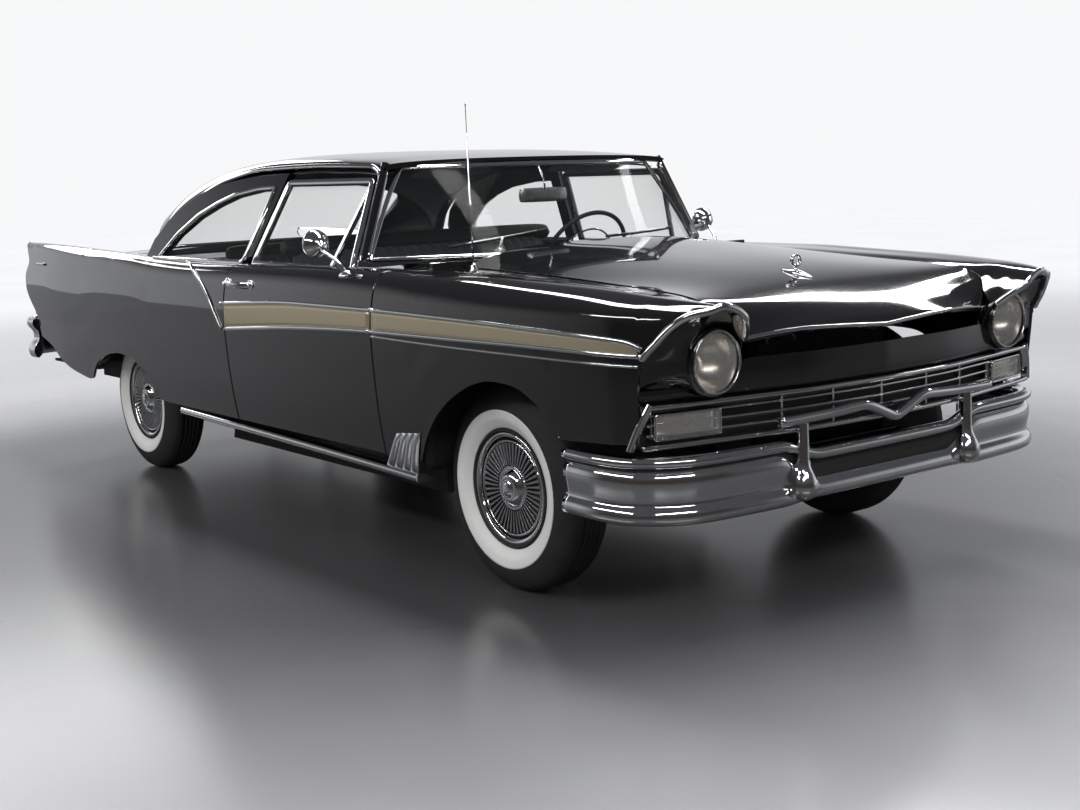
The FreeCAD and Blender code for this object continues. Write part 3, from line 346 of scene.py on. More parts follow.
def meshOf(name, points, faces):
    mesh = bpy.data.meshes.new(name)
    mesh.from_pydata(np.reshape(points, (-1, 3)).tolist(), [], faces)
    mesh.validate()
    mesh.update()
    return mesh


def closedMesh(name, points, faces):
    mesh = meshOf(name, points, faces)
    work = bmesh.new()
    work.from_mesh(mesh)
    bmesh.ops.recalc_face_normals(work, faces=work.faces)
    work.to_mesh(mesh)
    work.free()
    return mesh


def subdivide(piece, level):
    if level:
        smooth = piece.modifiers.new("smooth", "SUBSURF")
        smooth.levels = smooth.render_levels = level
        smooth.boundary_smooth = "PRESERVE_CORNERS"


def soften(piece, edge, angle=40):
    if edge:
        soft = piece.modifiers.new("edge", "BEVEL")
        soft.width, soft.segments = edge / 1000, 2
        soft.limit_method, soft.angle_limit = "ANGLE", math.radians(angle)
        soft.harden_normals = True


def panel(name, grid, outward, look, body="body", stands=(), slot=None, thick=12.0, level=1, edge=1.6,
          wrap=False):
    # a sheet panel: smooth grid, folded edge inwards, softened rim; the faces are turned round if
    # their average faces away from the outward hint
    points = toRow(grid).reshape(-1, 3)
    faces = gridFaces(*grid.shape[:2], False, wrap)
    p = points[faces]
    if (np.cross(p[:, 2] - p[:, 0], p[:, 3] - p[:, 1]) @ np.asarray(outward, float)).sum() < 0:
        faces = faces[:, ::-1]
    piece = finish(name, meshOf(name, points, faces.tolist()), look, body, stands)
    subdivide(piece, level)
    wall = piece.modifiers.new("wall", "SOLIDIFY")
    wall.thickness, wall.offset = thick / 1000, -1
    soften(piece, edge, 50)
    return piece


def sheet(name, grid, outward, look, body="body", thick=3.0, edge=0.0, **more):
    # a panel that keeps the grid's own points
    return panel(name, grid, outward, look, body, thick=thick, level=0, edge=edge, **more)


def closedGrid(name, grid, look, body="body", stands=(), level=0, edge=0.0):
    # rings of points, each ring closed, with capped ends
    mesh = closedMesh(name, toRow(grid), ringFaces(*grid.shape[:2]))
    piece = finish(name, mesh, look, body, stands)
    subdivide(piece, level)
    soften(piece, edge)
    return piece


def joined(name, parts, look=chrome, body="body", stands=(), edge=0.0):
    # several closed shells in one piece; each part is (points, faces)
    points, faces, start = [], [], 0
    for partPoints, partFaces in parts:
        points.append(np.reshape(partPoints, (-1, 3)))
        faces.extend([[int(v) + start for v in face] for face in partFaces])
        start += len(points[-1])
    piece = finish(name, closedMesh(name, toRow(np.concatenate(points)), faces), look, body, stands)
    soften(piece, edge)
    return piece


def oval(width, height, count, power):
    # power 1 is an ellipse, less is squarer
    angle = np.linspace(0, 2 * np.pi, count, endpoint=False)
    c, s = np.cos(angle), np.sin(angle)
    return spread(width / 2 * np.sign(c) * abs(c) ** power, height / 2 * np.sign(s) * abs(s) ** power)


def swept(path, size, upward, joinUp=False):
    # an oval (across, up) carried along a path: point = path + side * across + up * rise,
    # where side is the path's run crossed with the upward direction
    path, profile = np.asarray(path, float), oval(*size)
    run = unit(np.roll(path, -1, 0) - np.roll(path, 1, 0) if joinUp else np.gradient(path, axis=0))
    across = unit(np.cross(run, np.broadcast_to(np.asarray(upward, float), path.shape)))
    rise = np.cross(across, run)
    grid = path[:, None] + across[:, None] * profile[None, :, :1] + rise[:, None] * profile[None, :, 1:]
    return grid, ringFaces(*grid.shape[:2], joinUp)


def turned(profile, centre, axis, count):
    # a closed (along, radius) profile turned about an axis: point = centre + axis * along
    # + radius * (cos, sin) in the plane across it
    profile, axis = np.asarray(profile, float), unit(axis)
    first = unit(np.cross(axis, [0, 0, 1.0] if abs(axis[2]) < 0.9 else [1.0, 0, 0]))
    second = np.cross(axis, first)
    angle = np.linspace(0, 2 * np.pi, count, endpoint=False)[:, None, None]
    reach = profile[None, :, 1:]
    grid = (np.asarray(centre, float) + axis * profile[None, :, :1]
            + first * reach * np.cos(angle) + second * reach * np.sin(angle))
    return grid, gridFaces(count, len(profile), True, True).tolist()


boxFaces = [[0, 1, 3, 2], [4, 6, 7, 5], [0, 4, 5, 1], [2, 3, 7, 6], [0, 2, 6, 4], [1, 5, 7, 3]]


def block(low, high):
    across, along, up = zip(low, high)
    return [(x, y, z) for x in across for y in along for z in up], boxFaces


def once(side, name):
    # a node that holds both sides' parts is stood for by the left one alone
    return [name] if side == left else ()


# Camera, at the photograph's place

def stand(thing, across, above, back, at):
    # at a place, with its own x, y and z axes along three directions
    thing.matrix_world = Matrix([[across[i], above[i], back[i], at[i]] for i in range(3)] + [[0, 0, 0, 1]])


cameraView = {"at": (-3.559, -5.479, 1.330), "yaw": 37.42, "pitch": -8.82, "roll": -2.07,
              "lens": 48.93, "sensor": 36, "near": 0.05, "far": 200}
yaw, pitch, roll = (math.radians(cameraView[k]) for k in ("yaw", "pitch", "roll"))
forward = np.array([math.sin(yaw) * math.cos(pitch), math.cos(yaw) * math.cos(pitch), math.sin(pitch)])
level = unit(np.cross(forward, [0, 0, 1]))
rise = np.cross(level, forward)
cameraData = bpy.data.cameras.new("camera")
cameraData.lens, cameraData.sensor_width = cameraView["lens"], cameraView["sensor"]
cameraData.sensor_fit = "HORIZONTAL"
cameraData.clip_start, cameraData.clip_end = cameraView["near"], cameraView["far"]
camera = addObject("camera", cameraData)
stand(camera, math.cos(roll) * level + math.sin(roll) * rise,
      math.cos(roll) * rise - math.sin(roll) * level, -forward, cameraView["at"])
bpy.context.scene.camera = camera
bpy.context.scene.view_settings.view_transform = "Standard"


# The body's lines, as in the part's source

half, belt, shoulderUp, sillUp = 968.0, 1030.0, 945.0, 396.0
planHalf = curve([(-940, 740), (-905, 775), (-884, 815), (-849, 861), (-796, 898), (-755, 917),
                  (-700, 934), (-640, 944), (-300, half - 10), (300, half - 2), (1100, half),
                  (2000, half - 1), (2800, half - 4), (3600, half - 16), (4360, half - 52)])
sideTuck = curve([(300, 58), (450, 28), (620, 10), (800, 0), (890, 4), (950, 16), (1000, 40)])
ridgeOut = curve([(-940, 700), (-905, 735), (-884, 752), (-849, 778), (-796, 795), (-716, 812),
                  (-170, 812), (204, 826), (575, 862), (1100, 880), (1715, 880), (2100, 884),
                  (2700, 884), (3263, 872), (3809, 860), (4360, 836)])
ridgeUp = curve([(-940, 958), (-905, 965), (-849, 975), (-716, 988), (-457, 1007), (-170, 1020),
                 (204, 1033), (575, 1034), (1100, 1032), (1715, 1028), (2098, 1024), (2552, 1033),
                 (2775, 1043), (3263, 1062), (3809, 1077), (4360, 1084)])
hoodEdgeUp = curve([(-900, 800), (-862, 806), (-800, 828), (-785, 848), (-760, 905), (-730, 946),
                    (-690, 968), (-583, 983), (-361, 998), (-68, 1014), (228, 1024), (480, 1032)])
hoodCentreUp = curve([(-900, 800), (-857, 848), (-835, 876), (-780, 912), (-700, 943),
                      (-583, 975), (-317, 1020), (0, 1058), (266, 1084), (480, 1096)])
noseLine = curve([(0, -862), (300, -846), (560, -805), (700, -780), (820, -757), (905, -735)])
hoodFront = curve([(0, -857), (300, -841), (560, -800), (600, -772), (637, -736)])
noseTop = curve([(0, 833), (300, 827), (520, 812), (580, 790), (640, 755), (700, 735), (905, 735)])
fenderBottom = curve([(-940, 610), (-700, 582), (-420, 566), (-330, 560), (-100, 393), (572, 393)])
fenderEdgeUp = curve([(-940, 850), (-830, 858), (-800, 874), (-775, 892), (-750, 917),
                      (-735, 942), (-690, 965), (-583, 980),
                      (-361, 995), (-68, 1011), (228, 1022), (480, 1030)])
browNear = curve([(-940, 670), (-905, 690), (-850, 706), (-800, 715), (-700, 735), (572, 790)])
browNearDrop = curve([(-940, 14), (-800, 10), (-700, 4), (572, 4)])
browMiddle = curve([(-940, 640), (-850, 646), (-800, 655), (-700, 690), (572, 715)])
browInner = curve([(-940, 584), (-830, 588), (-800, 594), (-775, 606), (-750, 626), (-735, 643),
                   (572, 643)])
browEdge = curve([(0, -735), (0.34, -755), (0.406, -796), (0.507, -849), (0.6, -884), (0.68, -904),
                  (0.77, -911), (0.87, -886), (1, -830)])
archFront = curve([(-480, 250), (-470, 420), (-405, 575), (-320, 665), (-211, 709), (-110, 714),
                   (-10, 695), (133, 629), (238, 548), (318, 450), (368, 345), (382, 250)])
archRear = curve([(2440, 250), (2470, 340), (2530, 430), (2600, 505), (2720, 560), (2900, 583),
                  (3080, 560), (3230, 500), (3330, 400), (3360, 250)])
quarterBottom = curve([(1718, 396), (2300, 396), (3300, 415), (3565, 441), (3753, 488),
                       (3856, 549), (4060, 600), (4360, 700)])
quarterInner = curve([(1718, 838), (2600, 830), (2950, 800), (3200, 770), (4360, 760)])
quarterEdge = curve([(1718, 815), (2600, 800), (2900, 720), (3050, 650), (3300, 646), (4360, 646)])
quarterEdgeUp = curve([(1718, 1022), (2600, 1022), (2900, 1028), (3300, 1022), (3600, 1014),
                       (3900, 996), (4100, 966), (4200, 930), (4360, 900)])
finEdge = curve([(0, 4020), (0.14, 4045), (0.245, 4185), (0.3, 4208), (0.37, 4216), (0.43, 4196),
                 (0.47, 4165), (0.53, 4215), (0.59, 4300), (0.635, 4358), (0.7, 4320),
                 (0.8, 4215), (1, 4165)])


def sideOut(s, z):
    # distance of the body side from the centre line: plan half width less the tuck at that height
    return planHalf(s) - sideTuck(z)


def arched(s, bottom, arch, start, end):
    return np.where((s > start) & (s < end), np.maximum(bottom(s), arch(s)), bottom(s))


def ridgeKnots(s, bottom, share, drop):
    # up the side in five heights, then over the shoulder to the ridge
    heights = bottom + (shoulderUp - bottom) * np.linspace(0, 1, 5)[:, None]
    knots = [spread(sideOut(s, z), z) for z in heights]
    out, top = ridgeOut(s), ridgeUp(s)
    return knots + [spread(out + share * (knots[-1][:, 0] - out), top - drop), spread(out, top)]


def fenderKnots(s):
    top, edgeUp = ridgeUp(s), fenderEdgeUp(s)
    return ridgeKnots(s, arched(s, fenderBottom, archFront, -478, 380), 0.62, 16) + [
        spread(browNear(s), top - browNearDrop(s)), spread(browMiddle(s), 0.55 * top + 0.45 * edgeUp),
        spread(browInner(s), edgeUp)]


def quarterKnots(s):
    top, edgeUp, inner = ridgeUp(s), quarterEdgeUp(s), quarterInner(s)
    return ridgeKnots(s, arched(s, quarterBottom, archRear, 2440, 3360), 0.55, 14) + [
        spread(0.5 * (ridgeOut(s) + inner), 0.75 * top + 0.25 * edgeUp),
        spread(inner, 0.4 * top + 0.6 * edgeUp), spread(quarterEdge(s), edgeUp)]


def sideGrid(knots, stations, count, start=None, end=None):
    # point (i, j): the section at its own distance, which may lean with the share up the section
    share = np.linspace(0, 1, count)
    first = start(share) if start else np.full(count, stations[0])
    last = end(share) if end else np.full(count, stations[-1])
    along = (stations - stations[0]) / (stations[-1] - stations[0])
    s = first[None] + (last - first)[None] * along[:, None]
    line = np.array([sections(knots(s[:, j]), count)[j] for j in range(count)]).transpose(1, 0, 2)
    return spread(line[..., 0], s, line[..., 1])


def steps(*runs):
    # stations along the car; each run is (start, end, count) and shares its ends
    parts = [np.linspace(a, b, n, endpoint=False) for a, b, n in runs]
    return np.concatenate(parts + [[runs[-1][1]]])


fenderStations = steps((-912, -720, 18), (-720, -500, 7), (-500, -462, 4), (-462, -300, 8),
                       (-300, 300, 18), (300, 366, 4), (366, 382, 2), (382, 572, 4))
quarterStations = steps((1718, 2430, 14), (2430, 2480, 4), (2480, 2560, 5), (2560, 3250, 20),
                        (3250, 3362, 7), (3362, 4216, 20))
skins = {}
for side, name in sides:
    skins["fender", side] = sideGrid(fenderKnots, fenderStations, 38, start=browEdge) * [side, 1, 1]
    skins["quarter", side] = sideGrid(quarterKnots, quarterStations, 30, end=finEdge) * [side, 1, 1]
    for part in ("fender", "quarter"):
        panel(f"{part}Skin_{name}", skins[part, side], (side, 0, 0.4), black,
              stands=[f"{part}_{name}"], slot="paint")
print("fenders and quarters made")


# Hood, nose and boot lid

lidValues = {"hoodHalf": 637.0, "hoodEnd": 470.0, "hoodThick": 15, "bootHalf": 640, "bootDrop": 18,
             "bootPull": 26, "bootThick": 24}


def hoodUp(x, s):
    # from the centre line's height to the edge's, by the cube of the share across
    share = np.abs(x) / lidValues["hoodHalf"]
    return hoodCentreUp(s) * (1 - share ** 3) + hoodEdgeUp(s) * share ** 3


x = np.linspace(-lidValues["hoodHalf"], lidValues["hoodHalf"], 49)[:, None]
start = hoodFront(np.abs(x))
s = start + (lidValues["hoodEnd"] - start) * np.linspace(0, 1, 36)[None] ** 1.7
panel("hoodSkin", spread(x, s, hoodUp(x, s)), (0, 0, 1), black, "hood", ["hood"], "paint",
      thick=lidValues["hoodThick"])

# the nose's top edge runs round the lamps on a circle of 98 about their centres
x = np.linspace(-905, 905, 75)
reach = np.sqrt(np.clip(98 ** 2 - (np.abs(x) - 682) ** 2, 0, None))
front = noseLine(np.abs(x))
top = np.minimum(noseTop(np.abs(x)), np.maximum(800 - reach, 704))
low = np.minimum(706, 694 + 0.3 * (top - 694))
line = sections([spread(front + 16, 694), spread(front + 4, low), spread(front, 0.5 * (low + top)),
                 spread(front + 2, top - 2)], 10)
panel("noseSkin", spread(x, line[..., 0], line[..., 1]), (0, -1, 0), black, stands=["nose_panel"],
      slot="paint")

x = np.linspace(-lidValues["bootHalf"], lidValues["bootHalf"], 25)
drop, pull = (lidValues[key] * (x / lidValues["bootHalf"]) ** 2 for key in ("bootDrop", "bootPull"))
line = sections([spread(3330, 1043 - drop), spread(3600, 1038 - drop), spread(3900, 1018 - drop),
                 spread(4110 - pull, 984 - drop), spread(4215 - pull, 940 - drop),
                 spread(4252 - pull, 880), spread(4258 - pull, 780), spread(4250 - pull, 665)], 32)
panel("lidSkin", spread(x, line[..., 0], line[..., 1]), (0, 0.4, 1), black, "trunk_lid", ["trunk_lid"],
      "paint", thick=lidValues["bootThick"])


# Roof

roofCentreUp = curve([(880, 1412), (1100, 1437), (1400, 1454), (1750, 1460), (2100, 1455),
                      (2400, 1432), (2650, 1390), (2800, 1352), (3000, 1230), (3160, 1110)])
railOut = curve([(880, 690), (1100, 702), (1750, 706), (2122, 706), (2402, 716), (2623, 748),
                 (2743, 778), (2860, 742), (2985, 690), (3160, 612)])
railUp = curve([(880, 1385), (1100, 1394), (1400, 1401), (1750, 1399), (2122, 1363), (2402, 1290),
                (2623, 1171), (2743, 1046), (2800, 1030), (3160, 1030)])
rearGlassOut = curve([(2772, 548), (2830, 590), (3000, 600), (3160, 588)])
roofThick = 20


def roofPoints(s, angle):
    # across: out * cos^0.8, up: low + (high - low) * sin^0.75, round the section from rail to rail
    c, n = np.cos(angle), np.sin(angle)
    return spread(railOut(s) * np.sign(c) * np.abs(c) ** 0.8, s,
                  railUp(s) + (roofCentreUp(s) - railUp(s)) * np.abs(n) ** 0.75)


panel("roofSkin", roofPoints(np.linspace(880, 2790, 38)[:, None], np.linspace(0, np.pi, 49)[None]),
      (0, 0, 1), black, stands=["roof"], slot="paint", thick=roofThick)
for side, name in sides:
    # from the rail round to the edge of the rear window, below the roof's last full section
    s = np.linspace(2772, 3156, 22)[:, None]
    limit = np.arccos(np.clip(rearGlassOut(s) / railOut(s), 0, 1) ** 1.25)
    post = roofPoints(s, limit * np.linspace(0, 1, 14)[None]) * [side, 1, 1]
    panel(f"rearPost_{name}", post, (side, 0.5, 0.5), black, slot="paint", thick=roofThick)
print("hood, lid and roof made")


# Doors and side windows

doorValues = {"ends": (578.0, 1712.0), "thick": 92.0, "taper": 0.08, "taperStart": 1430.0,
              "glassLean": 0.47, "glassFoot": 862.0, "pane": 5, "bow": 6}
doorStart, doorEnd = doorValues["ends"]
glassLean, glassFoot = doorValues["glassLean"], doorValues["glassFoot"]
slope = math.hypot(1, glassLean)


def onGlass(side, s, z, inward=0.0):
    # the side windows' leaning plane, or a line that far inside it
    z = np.asarray(z, float)
    x = glassFoot - (z - belt) * glassLean - inward / slope
    return spread(side * x, s, z - inward * glassLean / slope)


def doorGrid(side):
    # section ring: outer skin upwards, across the top, then the inner face downwards
    s = np.linspace(doorStart, doorEnd, 40)
    outer = sections(ridgeKnots(s, np.full_like(s, sillUp), 0.55, 12), 28)
    foot = outer[0] - [doorValues["thick"], 0]
    inner = between(spread(glassFoot - 38, outer[-1, :, 1]), foot, 8)
    ring = np.concatenate([outer, inner]).transpose(1, 0, 2)
    ease = np.clip((s - doorValues["taperStart"]) / (doorEnd - doorValues["taperStart"]), 0, 1)
    along = s[:, None] - (half - ring[..., 0]) * doorValues["taper"] * ease[:, None]
    return spread(side * ring[..., 0], along, ring[..., 1])


def windowFrame(side, corners, size, inward, joinUp=True):
    # a rounded bar that follows the corners in the glass plane
    line = np.array(corners, float)
    if joinUp:
        middle = (line[:1] + line[-1:]) / 2
        line = rounded(np.concatenate([middle, line, middle]), 14)[:-1]
    else:
        line = rounded(line, 14)
    path = even(onGlass(side, line[:, 0], line[:, 1], inward), 120)
    path, upward = path[:-1] if joinUp else path, (side / slope, 0, glassLean / slope)
    return swept(path, (*size, 16, 0.5), upward, joinUp)


quarterTop = spline([(1656, 1326), (1800, 1322), (2000, 1300), (2150, 1264), (2300, 1214), (2440, 1140),
                     (2564, 1036)], 30)
quarterLine = [(1724, 1030), (2566, 1030), (2450, 1134), (2300, 1216), (2150, 1266), (2000, 1302),
               (1800, 1324), (1654, 1327)]
for side, name in sides:
    body = f"door_{name}"
    closedGrid(f"doorSkin_{name}", doorGrid(side), black, body, [f"door_{name}"], edge=3)
    joined(f"doorFrame_{name}", [
        windowFrame(side, [(858, 1024), (872, 1062), (926, 1341), (1566, 1345), (1640, 1024)], (27, 24), 10),
        windowFrame(side, [(1010, 1036), (922, 1330)], (17, 20), 8, False)], body=body)
    u = np.linspace(0, 1, 14)[:, None]
    pane = between(between(np.array([884, 1036]), np.array([1622, 1036]), 14),
                   between(np.array([930, 1326]), np.array([1556, 1330]), 14), 6)
    bow = doorValues["bow"] * np.sin(np.pi * u[:, 0])[None] * np.sin(np.pi * np.linspace(0, 1, 6))[:, None]
    panel(f"doorGlass_{name}", onGlass(side, pane[..., 0], pane[..., 1], 13 - bow), (side, 0, 0.4), glass,
          body, [f"door_glass_{name}"], "glass", thick=doorValues["pane"], edge=0)
    joined(f"quarterFrame_{name}", [windowFrame(side, quarterLine, (22, 26), 6)])
    pane = between(between(np.array([1722, 1034]), np.array([2564, 1034]), 30), quarterTop, 8)
    panel(f"quarterGlass_{name}", onGlass(side, pane[..., 0], pane[..., 1], 15), (side, 0, 0.4), glass,
          stands=once(side, "quarter_glass"), slot="glass", thick=doorValues["pane"], edge=0)
print("doors and side windows made")


# Windscreen and rear window: each level is a height, a half width, and s in the middle and at the corners

screenLevels = np.array([(1040, 822, 530, 842), (1150, 760, 612, 868), (1260, 695, 700, 892),
                         (1384, 610, 812, 918)], float)
rearLevels = np.array([(1040, 618, 3256, 3158), (1140, 612, 3136, 2980), (1250, 604, 2980, 2812),
                       (1345, 520, 2812, 2772)], float)
paneThick, borderSize = 6, (18, 14, 12, 0.6)


def wrapped(levels, u, z):
    # a wrapped pane: s = middle + (corner - middle) |u|^2.6, x = width * u, by level
    width, middle, corner = (curve(list(zip(levels[:, 0], levels[:, k])))(z) for k in (1, 2, 3))
    return spread(width * u, middle + (corner - middle) * np.abs(u) ** 2.6, z)


def screenEdge(levels, lowZ, highZ, lead, reach=0.985):
    # the pane's outline, moved along the car by lead
    u, z = np.linspace(-reach, reach, 60), np.linspace(lowZ, highZ, 30)
    line = np.concatenate([wrapped(levels, u, np.full(60, lowZ)), wrapped(levels, np.full(30, reach), z)[1:],
                           wrapped(levels, u[::-1], np.full(60, highZ))[1:],
                           wrapped(levels, np.full(30, -reach), z[::-1])[1:-1]])
    return even(line + [0, lead, 0], 200)[:-1]


u = np.linspace(-1, 1, 61)[None]
for name, levels, low, high, facing, stood in (
        ("windscreenGlass", screenLevels, 1050, 1384, -1, "windshield"),
        ("rearGlass", rearLevels, 1046, 1345, 1, "backlight")):
    panel(name, wrapped(levels, u, np.linspace(low, high, 22)[:, None]), (0, facing, 0.5), glass,
          stands=[stood], slot="glass", thick=paneThick, edge=0)
joined("windscreenFrame", [swept(screenEdge(screenLevels, 1056, 1382, -3), borderSize, (0, -0.8, 0.6), True)])
joined("rearWindowFrame", [swept(screenEdge(rearLevels, 1052, 1342, 3), borderSize, (0, 0.7, 0.7), True)])


# Roof gutter and windscreen post mouldings

for side, name in sides:
    s = np.linspace(936, 2740, 60)
    post = [(838, 838, 1050), (826, 842, 1075), (694, 896, 1362)]
    gutter = even(rounded(np.concatenate([post, spread(railOut(s) + 4, s, railUp(s) + 3)]), 24), 190)
    cover = even([(818, 826, 1050), (676, 894, 1376)], 12)
    joined(f"gutter_{name}", [swept(gutter * [side, 1, 1], (17, 11, 12, 0.7), (side, 0, 0.5)),
                              swept(cover * [side, 1, 1], (26, 22, 12, 0.7), (side * 0.4, -1, 0))])
print("glass made")


# Bright strips along the side

spearTop = curve([(-775, 836), (-766, 848), (-745, 861), (-700, 873), (-629, 878), (-357, 886), (111, 896),
                  (603, 901), (1088, 900), (1742, 872)])
spearLow = curve([(-795, 834), (-354, 836), (116, 832), (611, 827), (1099, 810), (1738, 769)])
fenderLine = curve([(-814, 806), (0, 806), (300, 808), (589, 812)])
checkMark = [(2560, 1036), (2400, 1031), (2250, 1027), (2098, 1014), (1960, 960), (1856, 893),
             (1799, 838), (1742, 769)]
trimValues = {"upper": (15, 11), "lower": (14, 11), "line": (9, 9), "mark": (12, 11), "tail": (13, 11),
              "brow": (22, 17, 16, 0.8), "browFrom": 816, "browLimit": -904, "insertThick": 2}


def sideX(s, z):
    # the skin's distance from the centre line: below the shoulder sideOut, above it a quarter ellipse
    base = sideOut(s, np.minimum(z, shoulderUp))
    rise = np.clip((z - shoulderUp) / (ridgeUp(s) - shoulderUp), 0, 0.999)
    return base - (base - ridgeOut(s)) * (1 - np.sqrt(1 - rise ** 2))


def onSide(side, s, z, proud=0.0):
    s, z = np.broadcast_arrays(np.asarray(s, float), np.asarray(z, float))
    return spread(side * (sideX(s, z) + proud), s, z)


def strip(side, s, z, size, proud=1.0):
    return swept(onSide(side, s, z, proud), (*size, 12, 0.75), (side, 0, 0.1))


def frontAt(z):
    # where the fender's front edge stands at that height
    row = skins["fender", left][0]
    top = int(np.argmax(row[:, 2]))
    return np.interp(z, row[:top, 2], row[:top, 1])


def spearParts(side, start, end, onFender):
    s = start + (end - start) * np.linspace(0, 1, 90) ** 1.6
    low = np.linspace(frontAt(834.0) + 4, end, 70) if onFender else np.linspace(start, end, 60)
    parts = [strip(side, s, spearTop(s), trimValues["upper"]),
             strip(side, low, spearLow(low), trimValues["lower"])]
    if onFender:
        s = np.linspace(frontAt(806.0) + 4, end, 60)
        parts.append(strip(side, s, fenderLine(s), trimValues["line"]))
    return parts


for side, name in sides:
    for where, body, start, end in (("fender", "body", -760, 570), ("door", f"door_{name}", 580, 1710)):
        joined(f"spear_{where}_{name}", spearParts(side, start, end, where == "fender"), body=body)
        # the coloured band between the two lines of the spear
        s = np.linspace(max(start, -748), end, 40)
        band = spearLow(s) + 3 + (spearTop(s) - spearLow(s) - 6) * np.linspace(0, 1, 6)[:, None]
        sheet(f"insert_{where}_{name}", onSide(side, s[None], band, 1.5), (side, 0, 0), gold, body,
              thick=trimValues["insertThick"])
    mark, s = spline(checkMark, 80), np.linspace(1720, 1742, 6)
    joined(f"checkMark_{name}", [strip(side, mark[:, 0], mark[:, 1], trimValues["mark"]),
                                 strip(side, s, spearTop(s), trimValues["tail"])])
    row = skins["fender", side][0]
    brow = row[np.argmax(row[:, 2] > trimValues["browFrom"]):] - [0, 3, 0]
    brow[:, 1] = np.maximum(brow[:, 1], trimValues["browLimit"])
    joined(f"brow_{name}", [swept(even(brow, 80), trimValues["brow"], (0, -1, 0))])
print("side trim made")


# Sill mouldings and gravel shields

sillTop = curve([(385, 352), (584, 358), (1182, 371), (2285, 389)])
sillValues = {"start": 385, "end": 2285, "deep": 36, "proud": 5, "ribs": 6, "shieldThick": 5}
# each point of the moulding's ring: how far out of its face, and how far from its top or its foot
sillRing = [(-100, 0, 0), (-26, 1, 0), (-8, 1, 3), (-1, 1, 10), (0, 1, 18), (-2, 0, -10), (-10, 0, -3),
            (-30, 0, 0)]
for side, name in sides:
    s = np.linspace(sillValues["start"], sillValues["end"], 40)[:, None]
    top, out = sillTop(s), sideOut(s, 392) + sillValues["proud"]
    x = np.concatenate([out + a for a, fromTop, c in sillRing], 1)
    z = np.concatenate([top - c - (0 if fromTop else sillValues["deep"]) for a, fromTop, c in sillRing], 1)
    closedGrid(f"sill_{name}", spread(side * x, s, z), chrome, stands=once(side, "sills"),
               edge=1)
    # the shield leans between its front and rear edges, with four raised bars: ribs |sin(4 pi u)|^0.6
    u, v = np.linspace(0, 1, 57)[:, None], np.linspace(0, 1, 12)[None]
    front, rear = 388 - 66 * v ** 0.9, 585 - 111 * v
    low, high = 344 + 8 * u, 500 - 17 * u
    rib = sillValues["ribs"] * np.abs(np.sin(4 * np.pi * u)) ** 0.6 * np.clip(8 * np.minimum(v, 1 - v), 0, 1)
    shield = onSide(side, front + (rear - front) * u, np.maximum(low + (high - low) * v, 340), 3 + rib)
    sheet(f"gravelShield_{name}", shield, (side, 0, 0), chrome, thick=sillValues["shieldThick"], edge=0.8)
print("sills made")


# Bumpers

bumperValues = {"blendFrom": 300, "blendOver": 170, "guardAt": 387, "guardBar": (30, 30, 20, 0.8)}
frontHalf = [(932, -440), (936, -600), (900, -720), (780, -808), (560, -838), (280, -850), (0, -852)]
rearHalf = [(925, 4083), (920, 4183), (860, 4262), (700, 4306), (400, 4330), (0, 4336)]


def bumper(name, route, first, middle, atSide, count, look=chrome, stands=(), edge=0.0):
    # a closed section carried round half a route and its mirror image, starting on the side first;
    # it is blended from its shape in the middle to its shape at the sides
    path = spline([(first * x, s) for x, s in route[:-1]] + [(-first * x, s) for x, s in route[::-1]], 121)
    run = unit(np.gradient(path, axis=0))
    outward = spread(run[:, 1], -run[:, 0])
    share = np.clip((np.abs(path[:, 0]) - bumperValues["blendFrom"]) / bumperValues["blendOver"], 0, 1)
    share = (share * share * (3 - 2 * share))[:, None, None]
    loop = ringOf(middle, count) * (1 - share) + ringOf(atSide, count) * share
    grid = np.concatenate([path[:, None] + outward[:, None] * loop[..., :1], loop[..., 1:]], -1)
    closedGrid(name, grid, look, stands=stands, edge=edge)


bumper("frontBumperBlade", frontHalf, right,
       [(0, 360), (14, 363), (20, 376), (18, 394), (12, 406), (8, 412), (4, 417), (0, 420), (-8, 421),
        (-16, 418), (-20, 404), (-20, 384), (-14, 363)],
       [(0, 350), (16, 354), (24, 372), (18, 394), (7, 408), (9, 430), (15, 468), (9, 496), (-6, 508),
        (-22, 500), (-24, 430), (-22, 380), (-16, 354)], 37, stands=["bumper_front"])
bumper("frontBumperRail", frontHalf, right,
       [(-6, 474), (12, 476), (20, 484), (20, 498), (10, 508), (-6, 510), (-22, 502), (-22, 482)],
       [(-6, 514), (12, 516), (20, 524), (20, 536), (10, 546), (-6, 548), (-22, 540), (-22, 522)], 37)
bumper("frontBumperBack", frontHalf, right,
       [(-22, 400), (-16, 400), (-14, 430), (-14, 460), (-16, 490), (-22, 490), (-24, 460), (-24, 430)],
       [(-8, 440), (-2, 440), (0, 470), (0, 500), (-2, 520), (-8, 520), (-10, 500), (-10, 460)], 37, under)
rearSection = [(0, 470), (16, 476), (24, 510), (10, 545), (-8, 570), (-4, 610), (18, 640), (20, 668),
               (4, 684), (-16, 670), (-24, 600), (-22, 500)]
bumper("rearBumper", rearHalf, left, rearSection, rearSection, 45, stands=["bumper_rear"],
       edge=2)

